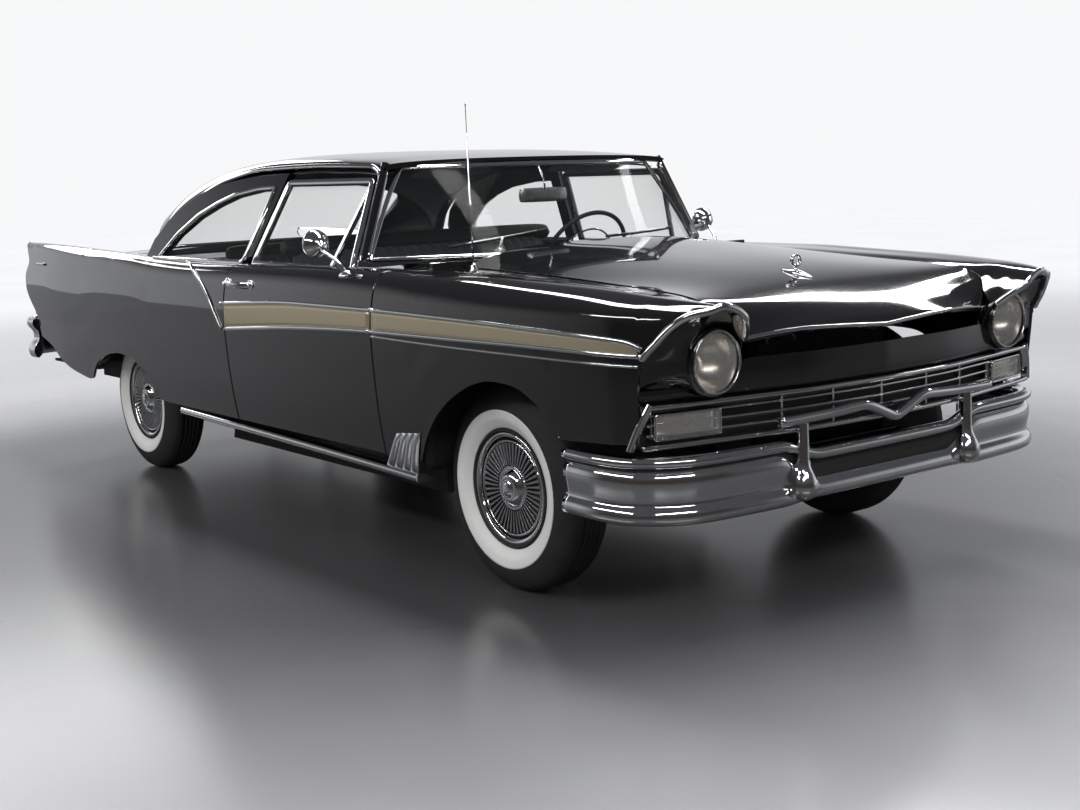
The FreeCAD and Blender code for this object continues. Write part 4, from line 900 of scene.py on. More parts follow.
guardLine = [(-490, -876, 609), (-300, -882, 612), (-135, -892, 622), (0, -892, 566),
             (135, -892, 622), (300, -882, 612), (490, -876, 609)]
bulb = [(0, 0), (0, 8), (4, 22), (14, 36), (30, 44), (46, 46), (64, 42), (84, 32), (104, 23),
        (130, 19), (240, 17), (252, 15), (258, 8), (258, 0)]
parts = [swept(even(rounded(guardLine, 26), 120), bumperValues["guardBar"], (0, -1, 0))]
parts += [turned(bulb, (side * bumperValues["guardAt"], -866, 362), (0, 0, 1), 48) for side in (left, right)]
joined("guardBar", parts, stands=["bumper_guard"])
print("bumpers made")


# Grille and parking lamps

grilleValues = {"bars": (603, 632, 660), "bar": (9, 16, 12, 0.7), "frame": (685, 571),
                "frameBar": (15, 24, 14, 0.6), "sideBar": (34, 16, 16, 0.7), "uprights": (220, 420),
                "lampLow": 590, "lampDeep": 70, "lampBulge": 12, "lampRing": (9, 16, 10, 0.7)}


def noseFollow(x, z, back):
    x = np.asarray(x, float)
    return spread(x, noseLine(np.abs(x)) + back, z)


x = np.linspace(-878, 878, 90)
parts = [swept(noseFollow(x * 0.99, z, 22), grilleValues["bar"], (0, -1, 0)) for z in grilleValues["bars"]]
parts += [swept(noseFollow(x * 1.02, z, 2), grilleValues["frameBar"], (0, -1, 0))
          for z in grilleValues["frame"]]
for side in (left, right):
    rim = [(side * 872, -745, 692), (side * 892, -738, 655), (side * 911, -728, 612), (side * 927, -718, 566)]
    parts.append(swept(spline(rim, 30), grilleValues["sideBar"], (-side * 0.4, -1, 0)))
    for x in grilleValues["uprights"]:
        front = float(noseLine(x))
        parts.append(block((side * x - 4, front + 14, 576), (side * x + 4, front + 34, 682)))
parts += [block((-5, -840, 600), (5, -812, 684)), block((-40, -850, 594), (40, -836, 606))]
joined("grilleBars", parts, stands=["grille"], edge=0.8)
sheet("grilleShadow", noseFollow(np.linspace(-880, 880, 50), np.linspace(560, 694, 8)[:, None], 62),
      (0, -1, 0), under, thick=4)

for side, name in sides:
    v, across = np.linspace(0, 1, 12)[:, None], np.linspace(-1, 1, 26)[None]
    bulge = grilleValues["lampBulge"] * (1 - np.abs(across) ** 6) * (1 - np.abs(2 * v - 1) ** 6)
    face = noseFollow(side * np.linspace(640, 852, 26),
                      grilleValues["lampLow"] + grilleValues["lampDeep"] * v, 12 - bulge)
    sheet(f"parkingLens_{name}", face, (0, -1, 0), lens, thick=4)
    sheet(f"parkingBack_{name}", face + [0, 22, 0], (0, -1, 0), reflector)
    border = np.concatenate([face[0], face[:, -1], face[-1, ::-1], face[::-1, 0]])
    joined(f"parkingRing_{name}", [swept(even(border, 90)[:-1], grilleValues["lampRing"], (0, -1, 0), True)])
print("grille made")


# Headlamps in their housings

lampOut, lampBack, lampUp, lampReach = 682.0, -812.0, 800.0, 97
lampParts = {
    "Ring": (black, [(4, 88), (7, 90), (6, 94), (0, 98), (-18, 100), (-34, 99), (-34, 95), (-14, 90),
                     (0, 87)]),
    "Bead": (chrome, [(5, 86), (9, 87.5), (10, 90.5), (7, 92.5), (3, 91)]),
    "Bowl": (reflector, [(-8, 88), (-30, 84), (-60, 66), (-84, 34), (-90, 0), (-94, 0), (-90, 40), (-66, 72),
                         (-36, 92), (-8, 92)]),
    "Lens": (lens, [(12, 0), (11, 20), (9, 42), (6, 62), (1, 80), (-3, 88), (-6, 88), (-2, 79), (3, 61),
                    (6, 42), (8, 20), (9, 0)])}
housingRest = [(578, -812, 826), (576, -798, 790), (590, -794, 762), (622, -786, 736), (690, -778, 716),
               (770, -764, 728), (830, -752, 734), (890, -738, 736)]
for side, name in sides:
    for part, (look, profile) in lampParts.items():
        joined(f"lamp{part}_{name}",
               [turned(profile, (side * lampOut, lampBack, lampUp), (0, -1, 0), 96)], look,
               stands=once(side, "headlamps") if part == "Ring" else ())
    # the housing runs from the fender's edge and the nose in to a ring behind the lamp
    edge = skins["fender", side][0] * [side, 1, 1]
    edge = edge[edge[:, 2] > 742]
    outer = ringOf(np.concatenate([edge, housingRest]), 121)
    angle = np.arctan2(outer[:, 2] - lampUp, outer[:, 0] - lampOut)
    inner = spread(lampOut + lampReach * np.cos(angle), lampBack + 6, lampUp + lampReach * np.sin(angle))
    v = np.linspace(0, 1, 9)[:, None]
    housing = between(outer, inner, 9)
    housing[..., 1] += 16 * np.sin(np.pi * v) + 5 * (1 - v)
    sheet(f"lampHousing_{name}", housing * [side, 1, 1], (0, -1, 0), black, thick=4, wrap=True)
print("headlamps made")


# Tail lamps

tailRing = [(0, 84), (8, 88), (10, 94), (2, 100), (-30, 102), (-52, 98), (-52, 90), (-10, 84)]
tailLens = [(16, 0), (16, 10), (11, 12), (11, 28), (15, 31), (15, 38), (9, 42), (9, 60), (12, 64),
            (11, 70), (4, 84), (-44, 88), (-44, 0)]
for side, name in sides:
    centre = (side * 800, 4232, 872)
    joined(f"tailRing_{name}", [turned(tailRing, centre, (0, 1, 0), 96)], stands=once(side, "tail_lamps"))
    joined(f"tailLens_{name}", [turned(tailLens, centre, (0, 1, 0), 96)], redLens)
print("tail lamps made")


# Wheels

wheelValues = {"vanes": 48, "front": (749.5, 0.0), "rear": (716.5, 2997.0), "radius": 340.0,
               "grooves": (30, 10, -10, -30), "vaneInner": (76, 2.2, 58), "vaneOuter": (148, 4.2, 60)}
rimProfile = [(-78, 194), (-78, 173), (-36, 170), (-30, 158), (20, 158), (44, 120), (44, 0), (50, 0),
              (50, 124), (52, 168), (60, 180), (72, 186), (79, 188), (80, 194), (70, 194), (70, 179),
              (-70, 179), (-70, 194)]
coverProfiles = [[(62, 150), (66, 151), (68, 155), (66, 158), (58, 160), (50, 158), (50, 150)],
                 [(60, 166), (69, 168), (74, 174), (76, 182), (72, 186), (60, 184), (54, 172)],
                 [(50, 74), (62, 73), (64, 70), (60, 65), (64, 60), (74, 52), (80, 42), (82, 34),
                  (79, 30), (83, 26), (87, 18), (88, 8), (88, 0), (50, 0)]]
# sidewall through smooth knots, tread with four grooves, then back along the inside
sidewall = spline([(70, 178), (72, 196), (93, 228), (97, 262), (88, 296), (72, 322), (60, 333),
                   (48, 337.5)], 18)
tread = [(44, 339)]
for groove in wheelValues["grooves"]:
    tread += [(groove + 4, 340), (groove + 3, 332), (groove - 3, 332), (groove - 4, 340)]
inside = spline([(-60, 178), (-70, 240), (-62, 300), (0, 306), (62, 300), (70, 240), (60, 178)], 9)
tyreProfile = np.concatenate([sidewall, tread, [(-44, 339)], sidewall[::-1] * [-1, 1], inside])
band = spline([(74.5, 198), (84, 212), (94.5, 230), (98.4, 250), (98.6, 260)], 14)
whiteProfile = np.concatenate([band, (band - [4, 0])[::-1]])


def vaneParts(centre, side):
    # each vane is a thin wedge from an inner to an outer radius, leaning round the wheel
    count = wheelValues["vanes"]
    turn = np.arange(count)[:, None] * 2 * np.pi / count
    corners = np.array([(r, across, rise)
                        for r, wide, lift in (wheelValues["vaneInner"], wheelValues["vaneOuter"])
                        for rise in (lift - 6, lift + 5) for across in (-wide, wide)])
    reach, across, rise = corners.T
    spin = turn + across / reach + side * 0.03 * (rise > 60)
    points = spread(rise * side, reach * np.cos(spin), reach * np.sin(spin)) + centre
    return points, (np.arange(count)[:, None, None] * 8 + boxFaces).reshape(-1, 4).tolist()


for end in ("front", "rear"):
    out, back = wheelValues[end]
    for side, name in sides:
        name = f"{end}_{name}"
        body, centre, axis = f"wheel_{name}", (side * out, back, wheelValues["radius"]), (side, 0, 0)
        joined(f"tyreTread_{name}", [turned(tyreProfile, centre, axis, 120)], rubber, body,
               [f"tyre_{name}"])
        joined(f"whitewall_{name}", [turned(whiteProfile, centre, axis, 128)], whitewall, body)
        joined(f"rim_{name}", [turned(rimProfile, centre, axis, 96)], under, body, [f"wheel_{name}"])
        joined(f"cover_{name}", [turned(loop, centre, axis, 96) for loop in coverProfiles], body=body)
        joined(f"vanes_{name}", [vaneParts(centre, side)], satin, body, edge=0.6)
print("wheels made")


# Handles, mirrors, aerial and wipers

handleValues = {"start": 1492, "long": 180, "up": 954.0, "bow": 30, "size": (22, 9, 16, 0.8),
                "feet": ((1486, 19), (1682, 22))}
button = [(8, 0), (8, 11), (18, 11), (21, 8), (21, 0)]
mirrorBase = [(-4, 0), (-4, 27), (4, 27), (9, 20), (14, 11), (14, 0)]
mirrorShell = [(0, 46), (0, 50), (-8, 51), (-26, 46), (-44, 34), (-56, 18), (-60, 0), (-54, 0), (-50, 16),
               (-38, 31), (-22, 42), (-4, 46)]
mirrorFace = [(-4, 0), (-4, 46), (-8, 46), (-9, 0)]
for side, name in sides:
    body, up = f"door_{name}", handleValues["up"]
    s = np.linspace(0, handleValues["long"], 24) + handleValues["start"]
    share = np.clip((s - handleValues["start"]) / handleValues["long"], 0, 1)
    bow = spread(side * handleValues["bow"] * np.sin(np.pi * share) ** 0.45, 0, 0)
    parts = [swept(onSide(side, s, up) + bow, handleValues["size"], (side, 0, 0))]
    for at, size in handleValues["feet"]:
        plate = [(-4, 0), (-4, size), (3, size), (8, size - 6), (10, size - 11), (10, 0)]
        parts.append(turned(plate, onSide(side, at, up), (side, 0, 0.05), 40))
    parts.append(turned(button, onSide(side, handleValues["feet"][1][0], up), (side, 0, 0.05), 32))
    joined(f"handle_{name}", parts, body=body)

    foot, head, centre = (np.array([side * x, s, z]) for x, s, z in ((915, 806, 1012), (958, 916, 1120),
                                                                    (958, 946, 1122)))
    bend = spline([foot, foot + [side * 16, 30, 46], head + [0, -16, -20], head], 30)
    joined(f"mirrorShell_{name}", [turned(mirrorBase, foot, (side * 0.35, 0, 1), 40),
                                   swept(bend, (13, 15, 14, 1), (side, 0, 0)),
                                   turned(mirrorShell, centre, (0, 1, 0), 64)], chrome, body,
           [f"mirror_{name}"])
    joined(f"mirrorFace_{name}", [turned(mirrorFace, centre, (0, 1, 0), 64)], body=body)

mast = np.array([-760.0, 238, 1022])
mastBase = [(-4, 0), (-4, 17), (3, 17), (8, 13), (14, 11), (26, 8), (34, 4), (34, 0)]
rods = [(0, 0), (0, 3.2), (250, 3.2), (252, 2.2), (430, 2.2), (432, 1.4), (544, 1.4), (546, 2.6),
        (549, 3.4), (552, 2.6), (552, 0)]
joined("aerialMast", [turned(mastBase, mast, (0, 0, 1), 32),
                      turned(rods, mast + [0, 0, 4], (0.03, 0.06, 1), 16)],
       stands=["aerial"])

hub = [(-26, 0), (-26, 17), (2, 17), (10, 13), (14, 6), (14, 0)]
for name, pivot, heel, tip in (("near", (-390, 596, 1068), (-560, 1086), (-170, 1132)),
                               ("far", (230, 592, 1078), (90, 1092), (520, 1104))):
    x, z = np.linspace(heel, tip, 30).T
    width = curve(list(zip(screenLevels[:, 0], screenLevels[:, 1])))(z)
    blade = wrapped(screenLevels, x / width, z) + [0, -10, 6]
    joined(f"wiperBlade_{name}", [swept(blade, (9, 12, 8, 0.7), (0, -0.8, 0.6))], rubber)
    middle = blade[14] + [0, -8, 4]
    arm = spline([np.add(pivot, [0, 0, 12]), np.array(pivot) * 0.5 + middle * 0.5 + [0, -6, 12], middle], 24)
    spine = (blade + [0, -6, 4])[4:26]
    joined(f"wiperArm_{name}", [turned(hub, pivot, (0, -0.25, 1), 32),
                                swept(arm, (10, 5, 10, 0.8), (0, -0.5, 1)),
                                swept(spine, (5, 5, 8, 1), (0, -0.5, 1))], satin)
print("small outside parts made")


# Bonnet lip and ornament, fin edges and badges, rear plate

x = np.linspace(-566, 566, 90)
s = hoodFront(np.abs(x))
joined("bonnetLip", [swept(spread(x, s - 3, hoodUp(x, s) + 2), (12, 12, 12, 0.8), (0, -0.4, 1))], body="hood")
s = np.linspace(-560, -430, 40)
swell = np.sin(np.pi * np.clip((s + 560) / 130, 0, 1))
height, wide = (3 + 9 * swell ** 1.5)[:, None], (4 + 13 * swell ** 0.8)[:, None]
angle = np.linspace(0, 2 * np.pi, 20, endpoint=False)[None]
closedGrid("bonnetSpear", spread(np.cos(angle) * wide, s[:, None],
                                 hoodUp(0 * s, s)[:, None] + 2 + np.sin(angle) * height), chrome, "hood")
foot = float(hoodCentreUp(-490)) + 4
sight = [(-5, 15), (5, 15), (7, 19), (5, 22), (-5, 22), (-7, 19)]
joined("bonnetSight", [turned(sight, (0, -490, foot + 38), (0, 1, 0), 48),
                       turned([(0, 0), (0, 10), (18, 5), (20, 0)], (0, -490, foot), (0, 0, 1), 24)],
       body="hood")
for side, name in sides:
    fin = skins["quarter", side][-1, 18:] + [0, 3, 0]
    joined(f"finEdge_{name}", [swept(even(fin, 70), (10, 10, 12, 0.8), (0, 1, 0))])
    joined(f"finBadge_{name}", [strip(side, np.linspace(3880, 4010, 20), 975, (15, 8), 2)])

plateBack = 4268
plate = spread(np.linspace(-155, 155, 12)[None], plateBack, np.linspace(700, 852, 8)[:, None])
sheet("rearPlate", plate, (0, 1, 0), satin, "trunk_lid", edge=1)
border = [(x, plateBack, z) for x, z in ((-158, 697), (158, 697), (158, 855), (-158, 855), (-158, 697))]
handle = spline([(-60, 4256, 905), (-40, 4276, 905), (40, 4276, 905), (60, 4256, 905)], 24)
joined("rearPlateFrame", [swept(even(rounded(border, 10), 100)[:-1], (8, 8, 10, 0.8), (0, 1, 0), True),
                          swept(handle, (14, 9, 12, 0.8), (0, 1, 0.3))], body="trunk_lid")
print("ornaments made")


# Seats

seatValues = {"front": (684.0, 22), "rear": (511.0, 16), "pleat": 9.0, "frames": 16, "pressure": 4.0,
              "cap": 0.022, "rollExtra": 2.0, "cushionFill": 0.85, "rollFill": 0.9}


def inflate(points, faces):
    # the pad swells as cloth under pressure, each point by no more than the cap
    pad = addObject("pad", closedMesh("pad", points, faces))
    settings = pad.modifiers.new("sheet", "CLOTH").settings
    settings.quality = 5
    settings.use_pressure = True
    settings.uniform_pressure_force = seatValues["pressure"]
    settings.effector_weights.gravity = 0
    for frameNumber in range(1, seatValues["frames"] + 1):
        bpy.context.scene.frame_set(frameNumber)
    swollen = pad.evaluated_get(bpy.context.evaluated_depsgraph_get()).data
    moved = np.empty(len(points) * 3)
    swollen.vertices.foreach_get("co", moved)
    bpy.data.objects.remove(pad)
    bpy.context.scene.frame_set(1)
    change = moved.reshape(-1, 3) - points
    size = np.linalg.norm(change, axis=1, keepdims=True)
    return points + change * np.minimum(1, seatValues["cap"] / np.maximum(size, 1e-9))


def cushion(name, halfWidth, pleats, outline, stands=()):
    # a closed outline carried across, rounded at its ends by (1 - |x|^9)^(1/9), swollen as a
    # filled pad, then pressed in along its sewn channels
    ends = np.array([0.946, 0.966, 0.982, 0.993, 1.0])
    u = np.concatenate([-ends[::-1], np.linspace(-0.93, 0.93, pleats * 4 + 1), ends])
    end = (1 - np.abs(u * 0.999) ** 9) ** (1 / 9)
    grid = stretched(ringOf(outline, 41), u * halfWidth * 0.985, 0.93 * end)
    faces = ringFaces(*grid.shape[:2])
    points = toRow(grid).reshape(-1, 3)
    points = inflate(points, faces)
    points = points.reshape(grid.shape)
    sewn = np.abs(np.cos(np.pi * pleats * (u + 0.93) / 1.86)) ** 6 * (np.abs(u) < 0.935)
    inward = points.mean(1, keepdims=True) - points
    inward[..., 0] = 0
    inward /= np.maximum(np.linalg.norm(inward, axis=2, keepdims=True), 1e-9)
    points = points + inward * (sewn * seatValues["pleat"] / 1000)[:, None, None]
    piece = finish(name, closedMesh(name, points, faces), cloth, "body", stands)
    subdivide(piece, 1)


def roll(name, halfWidth, pleats, outline):
    u = np.sin(np.linspace(-np.pi / 2, np.pi / 2, 41))
    end = (1 - np.abs(u * 0.998) ** 9) ** (1 / 9)
    grid = stretched(ringOf(outline, 25), u * (halfWidth + seatValues["rollExtra"]), end)
    closedGrid(name, grid, vinyl, level=1)


front, rear = seatValues["front"], seatValues["rear"]
cushion("frontSeatCushion", *front, [(1186, 430), (1180, 560), (1215, 606), (1400, 604), (1590, 578),
                                     (1600, 500), (1580, 430), (1380, 420)], ["front_seat"])
cushion("frontSeatBack", *front, [(1566, 590), (1600, 840), (1640, 1060), (1690, 1112), (1742, 1080),
                                  (1722, 800), (1700, 560), (1620, 500)])
cushion("rearSeatCushion", *rear, [(2050, 440), (2044, 560), (2080, 616), (2260, 612), (2420, 590),
                                   (2440, 530), (2400, 520), (2200, 430)], ["rear_seat"])
cushion("rearSeatBack", *rear, [(2404, 600), (2450, 820), (2500, 1010), (2560, 1058), (2618, 1030),
                                (2606, 800), (2580, 560), (2470, 540)])
roll("frontSeatRoll", *front, [(1652, 1076), (1690, 1120), (1744, 1092), (1740, 1052), (1690, 1040)])
roll("rearSeatRoll", *rear, [(2520, 1024), (2562, 1066), (2620, 1044), (2614, 1004), (2560, 990)])
roll("frontSeatLip", *front, [(1176, 520), (1170, 572), (1204, 612), (1260, 612), (1264, 560), (1230, 500)])
for name, low, high in (("frontSeatBase", -660, -176), ("frontSeatBaseDriver", 176, 660)):
    joined(name, [block((low, 1210, 342), (high, 1690, 430))], vinyl, edge=14)
print("seats made")


# Headliner, carpet and parcel shelf

liningValues = {"headDrop": 34, "ribs": 3, "floorUp": 335, "toeRise": 154, "tunnel": 172, "shelfUp": 1012}
s = np.linspace(930, 2740, 40)[:, None]
lining = roofPoints(s, np.linspace(0.12, np.pi - 0.12, 41)[None]) * [0.965, 1, 1]
lining -= [0, 0, liningValues["headDrop"]]
lining[..., 2] += liningValues["ribs"] * (np.abs(np.sin(np.linspace(0, 6 * np.pi, 40)))[:, None] - 1)
sheet("headliner", lining, (0, 0, -1), headliner, thick=2)
x, s = np.linspace(-806, 806, 61)[None], np.linspace(474, 2282, 50)[:, None]
flat = liningValues["floorUp"] + np.clip((720 - s) / 258, 0, 1) * liningValues["toeRise"]
hump = 322 + np.sqrt(np.clip(liningValues["tunnel"] ** 2 - x ** 2, 0, None))
ground = np.where(np.abs(x) < liningValues["tunnel"], np.maximum(flat, hump), flat)
sheet("carpet", spread(x, s, ground), (0, 0, 1), carpet, thick=2)
s = np.linspace(2636, 3120, 20)[:, None]
shelf = spread(np.linspace(-1, 1, 30)[None] * np.minimum(600, railOut(s) - 60), s, liningValues["shelfUp"])
sheet("parcelShelf", shelf, (0, 0, 1), vinyl, thick=8, edge=2)


# Dashboard, with three dials, each a place and the radius of its bezel

dashValues = {"half": 716, "facing": (0, 1, 0.15), "dials": (((270, 764, 1004), 34), ((375, 762, 1012), 44),
                                                              ((480, 764, 1004), 34))}
dashLoop = [(622, 984), (640, 900), (664, 866), (716, 858), (752, 892), (766, 944), (758, 976), (700, 988)]
x = np.linspace(-dashValues["half"], dashValues["half"], 60)
end = (1 - np.abs(x / 720) ** 12) ** (1 / 12)
closedGrid("dashTop", stretched(ringOf(dashLoop, 49), x, 0.75 + 0.25 * end), vinyl, stands=["dashboard"])
pod = spline([(150, 985), (190, 1034), (300, 1062), (375, 1066), (450, 1062), (560, 1034), (600, 985)], 50)
run = np.linspace(640, 772, 10)[:, None]
panel("instrumentHood", spread(pod[None, :, 0], run, pod[None, :, 1] - (772 - run) * 0.12), (0, 0, 1), vinyl,
      thick=6, edge=2)
facing = dashValues["facing"]
parts = [turned([(-8, size - 6), (4, size - 6), (6, size - 2), (4, size), (-8, size)], at, facing, 48)
         for at, size in dashValues["dials"]]
parts.append(swept(spread(np.linspace(-700, 700, 40), 770, 934), (10, 8, 10, 0.8), (0, 1, 0)))
joined("dashBright", parts)
joined("dials", [turned([(-6, 0), (-6, size - 5), (-3, size - 5), (-2, 0)], at, facing, 48)
                 for at, size in dashValues["dials"]], dial)


# Steering wheel, column and gear lever

wheelTilt = np.array([0, 0.891007, 0.453990])
hubAt = np.array([375.0, 1050, 985])
alongX = np.array([1.0, 0, 0])
upward = np.cross(wheelTilt, alongX)
steeringValues = {"radius": 215, "rim": (19, 17, 14, 1), "spokes": (0.12, np.pi - 0.12), "horn": 140,
                  "column": 560}


def around(angle, radius):
    # places on a circle in the steering wheel's plane
    return np.cos(angle)[..., None] * alongX * radius + np.sin(angle)[..., None] * upward * radius


circle = hubAt + around(np.linspace(0, 2 * np.pi, 120, endpoint=False), steeringValues["radius"])
parts = [swept(circle, steeringValues["rim"], wheelTilt, True)]
for angle in steeringValues["spokes"]:
    spoke = [hubAt + around(np.array(-angle), radius) - wheelTilt * sunk
             for radius, sunk in ((24, 6), (120, 12), (213, 0))]
    parts.append(swept(spline(spoke, 20), (30, 10, 12, 0.8), wheelTilt))
joined("steeringRim", parts, vinyl, "steering_wheel", ["steering_wheel"])
horn = hubAt - wheelTilt * 2 + around(np.linspace(np.pi * 1.03, np.pi * 1.97, 50), steeringValues["horn"])
hub = [(-30, 0), (-30, 32), (-4, 34), (4, 30), (9, 18), (10, 0)]
joined("hornRing", [swept(horn, (8, 7, 12, 1), wheelTilt), turned(hub, hubAt, wheelTilt, 48)],
       body="steering_wheel")
tube = [(0, 0), (0, 24), (470, 24), (490, 30), (518, 32), (520, 0)]
joined("columnTube", [turned(tube, hubAt - wheelTilt * steeringValues["column"], wheelTilt, 40)], vinyl,
       stands=["steering_column"])
start = hubAt - wheelTilt * 70
lever = spline([start, start + [90, 20, 20], start + [190, 70, 60]], 20)
knob = [(-14, 0), (-10, 10), (0, 14), (10, 10), (14, 0)]
joined("gearLever", [swept(lever, (9, 9, 12, 1), (0, 0, 1)), turned(knob, lever[-1], (1, 0.4, 0.3), 24)])


# Inside mirror, sun visors, door cards and side lining

mirrorBack = [(-118, 0), (-114, 20), (-90, 27), (90, 27), (114, 20), (118, 0), (114, -20), (90, -27),
              (-90, -27), (-114, -20)]
loop = ringOf(mirrorBack, 61)
depth, scale = np.array([(0, 1), (3, 1), (9, 0.9), (13, 0.6), (14, 0.1)]).T[..., None]
closedGrid("insideMirror", spread(loop[:, 0] * scale, 830 - depth, 1262 + loop[:, 1] * scale), satin)
stem = spline([(0, 822, 1270), (0, 818, 1310), (0, 850, 1366), (0, 880, 1392)], 20)
joined("insideMirrorStem", [swept(stem, (8, 8, 12, 1), (0, -1, 0))])
cardValues = {"inside": 92, "head": 824, "pleat": 4, "line": 772.0, "fill": 0.9, "card": 3, "lining": 4}
visor = [(0, 0), (180, 8), (350, 0), (356, -60), (330, -112), (180, -124), (20, -112), (-6, -60)]
crankKnob = [(-6, 0), (-6, 24), (6, 22), (10, 12), (10, 0)]


def cardOut(s, z):
    # the door's inner face: it leans from the outer skin's foot in to the glass
    low = sideOut(s, sillUp) - cardValues["inside"]
    return low + (cardValues["head"] - low) * (z - sillUp) / (belt - sillUp)


for side, name in sides:
    body, inwards = f"door_{name}", (-side, 0, 0)
    loop = ringOf(visor, 49)
    depth, scale = np.array([(0, 0.8), (3, 0.97), (7, 1), (11, 0.97), (14, 0.8)]).T[..., None]
    across, down = (loop.mean(0)[k] + (loop[:, k] - loop.mean(0)[k]) * scale for k in (0, 1))
    x = side * (150 + across)
    bend = (np.abs(x) / 500) ** 2
    grid = spread(x, 900 + depth - down * 0.8 + bend * 18, 1392 - depth + down * 0.25 - bend * 14)
    closedGrid(f"sunVisor_{name}", grid, headliner)

    # the card is pleated below its bright line and plain above
    s, z = np.linspace(640, 1640, 101)[None], np.linspace(430, 985, 34)[:, None]
    pleat = cardValues["pleat"] * np.abs(np.sin(np.linspace(0, 20 * np.pi, 101)))[None]
    inner = cardOut(s, z)
    card = spread(side * (inner - 3 - pleat * np.clip((760 - z) / 14, 0, 1)), s, z)
    sheet(f"doorCard_{name}", card, inwards, cloth, body, thick=cardValues["card"])
    s = np.linspace(650, 1630, 50)
    line = spread(side * (cardOut(s, cardValues["line"]) - 6), s, cardValues["line"])
    crank = np.array([side * (inner[20, 70] - 10), 1330, 700])
    arm = spline([crank + [-side * 8, 0, 0], crank + [-side * 20, -40, -50],
                  crank + [-side * 22, -60, -86]], 16)
    joined(f"doorBright_{name}",
           [swept(line, (10, 6, 10, 0.8), inwards), turned(crankKnob, crank, inwards, 32),
            swept(arm, (10, 7, 10, 1), inwards)], body=body)
    rest = spline([(side * 740, 1120, 668), (side * 716, 1240, 672), (side * 716, 1420, 672),
                   (side * 742, 1540, 668)], 30)
    joined(f"armrest_{name}", [swept(rest, (46, 58, 20, 0.8), inwards)], vinyl, body)

    # the lining behind the doors ends over the wheel's arch
    s, z = np.linspace(1760, 2590, 60)[None], np.linspace(400, 1000, 24)[:, None]
    inside = sideOut(s, z) - 120 - 30 * np.clip((z - 700) / 300, 0, 1)
    arch = np.clip(1 - ((s - 2997) / 520) ** 2, 0, None) ** 0.5 * 420 + 300
    sheet(f"rearTrim_{name}", spread(side * inside, s, np.maximum(z, np.minimum(arch, 990))), inwards, vinyl,
          thick=cardValues["lining"])
print("cabin made")


# Engine bay and wheel wells

engineValues = {"wellRadius": 404, "axleUp": 340, "coverOut": 255, "coverRadius": (66, 34), "finDepth": 5,
                "blades": 4, "bladeSize": (60, 5, 12, 0.8), "hose": (44, 44, 20, 1)}
for side, name in sides:
    angle = np.linspace(0.02, np.pi - 0.02, 40)[:, None]
    wellRadius = engineValues["wellRadius"]
    well = spread(side * np.linspace(470, 880, 12)[None], wellRadius * np.cos(angle),
                  engineValues["axleUp"] + wellRadius * np.sin(angle))
    sheet(f"wheelWell_{name}", well, (0, 0, -1), under)
    angle = np.linspace(0, np.pi, 16)[:, None]
    wide, high = engineValues["coverRadius"]
    cover = spread(side * engineValues["coverOut"] + wide * np.cos(angle), np.linspace(-660, 0, 12)[None],
                   806 + high * np.sin(angle))
    sheet(f"rockerCover_{name}", cover, (0, 0, 1), satin, thick=4, edge=1)
cleaner = [(-30, 0), (-30, 120), (-22, 165), (10, 170), (30, 165), (36, 120), (38, 30), (48, 12), (48, 0)]
joined("airCleaner", [turned(cleaner, (0, -190, 890), (0, 0, 1), 64)], black)
u = np.linspace(0, 1, 141)[None]
fins = engineValues["finDepth"] * np.abs(np.sin(70 * np.pi * u))
core = spread(600 * u - 300, -600 - fins, np.linspace(470, 840, 10)[:, None])
sheet("radiatorCore", core, (0, -1, 0), under, thick=40)
joined("radiatorTanks", [block((-320, -648, 840), (320, -556, 884)),
                         block((-320, -640, 430), (320, -560, 470))], black, edge=8)
hose = spline([(120, -556, 862), (130, -500, 850), (140, -440, 800), (150, -400, 760)], 24)
joined("radiatorHose", [swept(hose, engineValues["hose"], (0, 0, 1))], rubber)
parts = []
for angle in np.arange(engineValues["blades"]) * np.pi / 2 + 0.3:
    reach = np.array([math.cos(angle), 0, math.sin(angle)])
    blade = np.array([20, 90, 180])[:, None] * reach + [0, -470, 640]
    parts.append(swept(blade, engineValues["bladeSize"], (0.3 * math.sin(angle), -1, -0.3 * math.cos(angle))))
joined("fan", parts, satin)
print("engine bay made")


# Floor, background and lights

# near is a painted shade below the car for camera rays and the whole floor's colour for other rays; the fade
# distances carry that painted shade out to the far colour
floorLooks = {"size": 80.0, "near": (0.07, 0.07, 0.073), "far": (0.5, 0.5, 0.52),
              "backdrop": (0.5, 0.505, 0.515), "shadeFade": (2.2, 5.2), "away": (5.0, 13.0)}
worldLooks = {"ambient": (0.9, 0.91, 0.93, 1), "ambientStrength": 0.62, "seen": (0.93, 0.935, 0.945, 1),
              "behind": (0.045, 0.038, 0.034), "wall": (0.66, 0.67, 0.69), "ceiling": (0.07, 0.072, 0.078)}
reach = floorLooks["size"] / 2
corners = [(-reach, -reach, 0), (reach, -reach, 0), (reach, reach, 0), (-reach, reach, 0)]
floor = addObject("floor", meshOf("floor", corners, [(0, 1, 2, 3)]))
floor.location.z = -0.0005


def shadedFloorLook(tree, where):
    # painted shade: to the camera the floor is dark below the car, paler outwards, and running into the pale
    # backdrop far away; to all other rays it is dark all over
    cloud = noise(tree, where, 0.8, 4.0)
    reach = node(tree, "ShaderNodeVectorMath", {"operation": "LENGTH"}, {"Vector": where}, "Value")
    outward = smoothstep(tree, reach + cloud * 0.5, *floorLooks["shadeFade"])
    away = smoothstep(tree, reach, *floorLooks["away"])
    seen = node(tree, "ShaderNodeLightPath", {}, output="Is Camera Ray")
    return {"Base Color": mixColour(tree, outward * seen, floorLooks["near"], floorLooks["far"]),
            "Emission Color": mixColour(tree, away * seen, (0.0, 0.0, 0.0), floorLooks["backdrop"]),
            "Roughness": 0.17 + cloud * 0.12}


floor.data.materials.append(material("floor", shadedFloorLook, Emission_Strength=1.0))


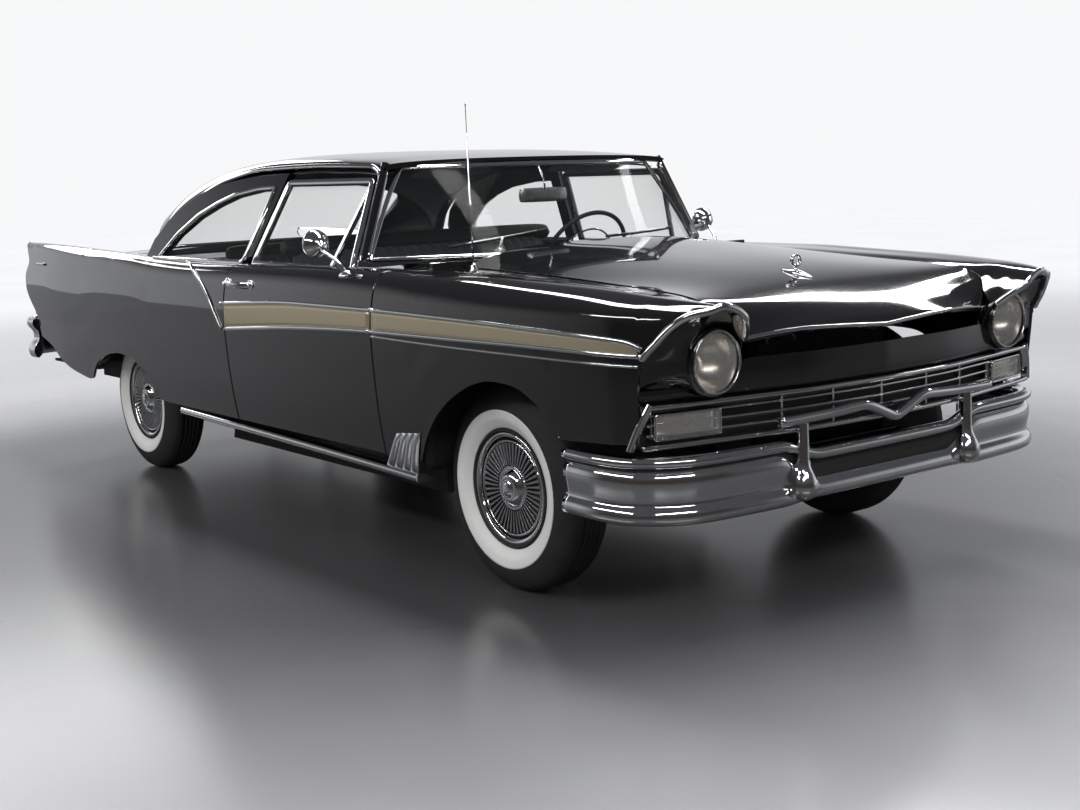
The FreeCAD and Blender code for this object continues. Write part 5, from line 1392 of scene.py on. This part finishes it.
def backdrop(colour, strength=1.0):
    return node(tree, "ShaderNodeBackground", {}, {"Color": colour, "Strength": strength})


def choice(ray, otherwise, chosen):
    ray = node(tree, "ShaderNodeLightPath", {}, output=ray)
    return node(tree, "ShaderNodeMixShader", {}, [ray, otherwise, chosen])


world = bpy.data.worlds.new("studio")
bpy.context.scene.world = world
world.use_nodes = True
tree = world.node_tree
# what polished surfaces mirror: a dim room behind the camera, a pale wall beyond the car
direction = node(tree, "ShaderNodeTexCoord", {}, output="Generated")
towards = node(tree, "ShaderNodeVectorMath", {"operation": "DOT_PRODUCT"}, [direction, (0.72, 0.69, 0)],
               "Value")
height = node(tree, "ShaderNodeSeparateXYZ", {}, [direction], "Z")
room = mixColour(tree, smoothstep(tree, towards, -0.25, 0.55), worldLooks["behind"], worldLooks["wall"])
room = mixColour(tree, smoothstep(tree, height, 0.16, 0.4), room, worldLooks["ceiling"])
lit = choice("Is Glossy Ray", backdrop(worldLooks["ambient"], worldLooks["ambientStrength"]), backdrop(room))
lit = choice("Is Camera Ray", lit, backdrop(worldLooks["seen"]))
tree.links.new(lit.socket, tree.nodes["World Output"].inputs["Surface"])

# each lamp's name, place, aim, size and power
softBoxes = [("overhead", (0.5, 0.3, 5.4), (0, 0, 0), (0.9, 7.5), 330),
             ("nose", (-2.5, -8.0, 4.4), (0, 0.2, 0.9), (6.0, 0.5), 150),
             ("nearSide", (-7.0, 0.5, 4.6), (0, 0.3, 0.9), (8.0, 0.5), 190),
             ("farSide", (6.5, 0.5, 5.2), (0, 0.3, 0.9), (6.0, 0.6), 170),
             ("tail", (0.5, 8.0, 3.6), (0, 0, 0.9), (6.0, 1.4), 120)]
for name, at, aim, size, power in softBoxes:
    data = bpy.data.lights.new(name, "AREA")
    data.shape, data.energy = "RECTANGLE", power
    data.size, data.size_y = size
    look = unit(np.subtract(aim, at))
    sideways = unit(np.cross(look, [0, 1.0, 0] if abs(look[2]) > 0.95 else [0, 0, 1.0]))
    stand(addObject(name, data), sideways, np.cross(sideways, look), -look, at)
print("stage made")


# Materials of the CAD pieces that keep their own shape

for look, names in ((black, ("cowl", "rear_deck", "window_posts")),
                    (under, ("floor_pan", "boot_floor", "frame", "crossmembers", "front_suspension",
                             "fuel_tank")),
                    (iron, ("engine", "driveline", "rear_axle", "knuckle_left", "knuckle_right")),
                    (satin, ("exhaust",))):
    for name in names:
        nodes[name].data.materials.clear()
        nodes[name].data.materials.append(look)
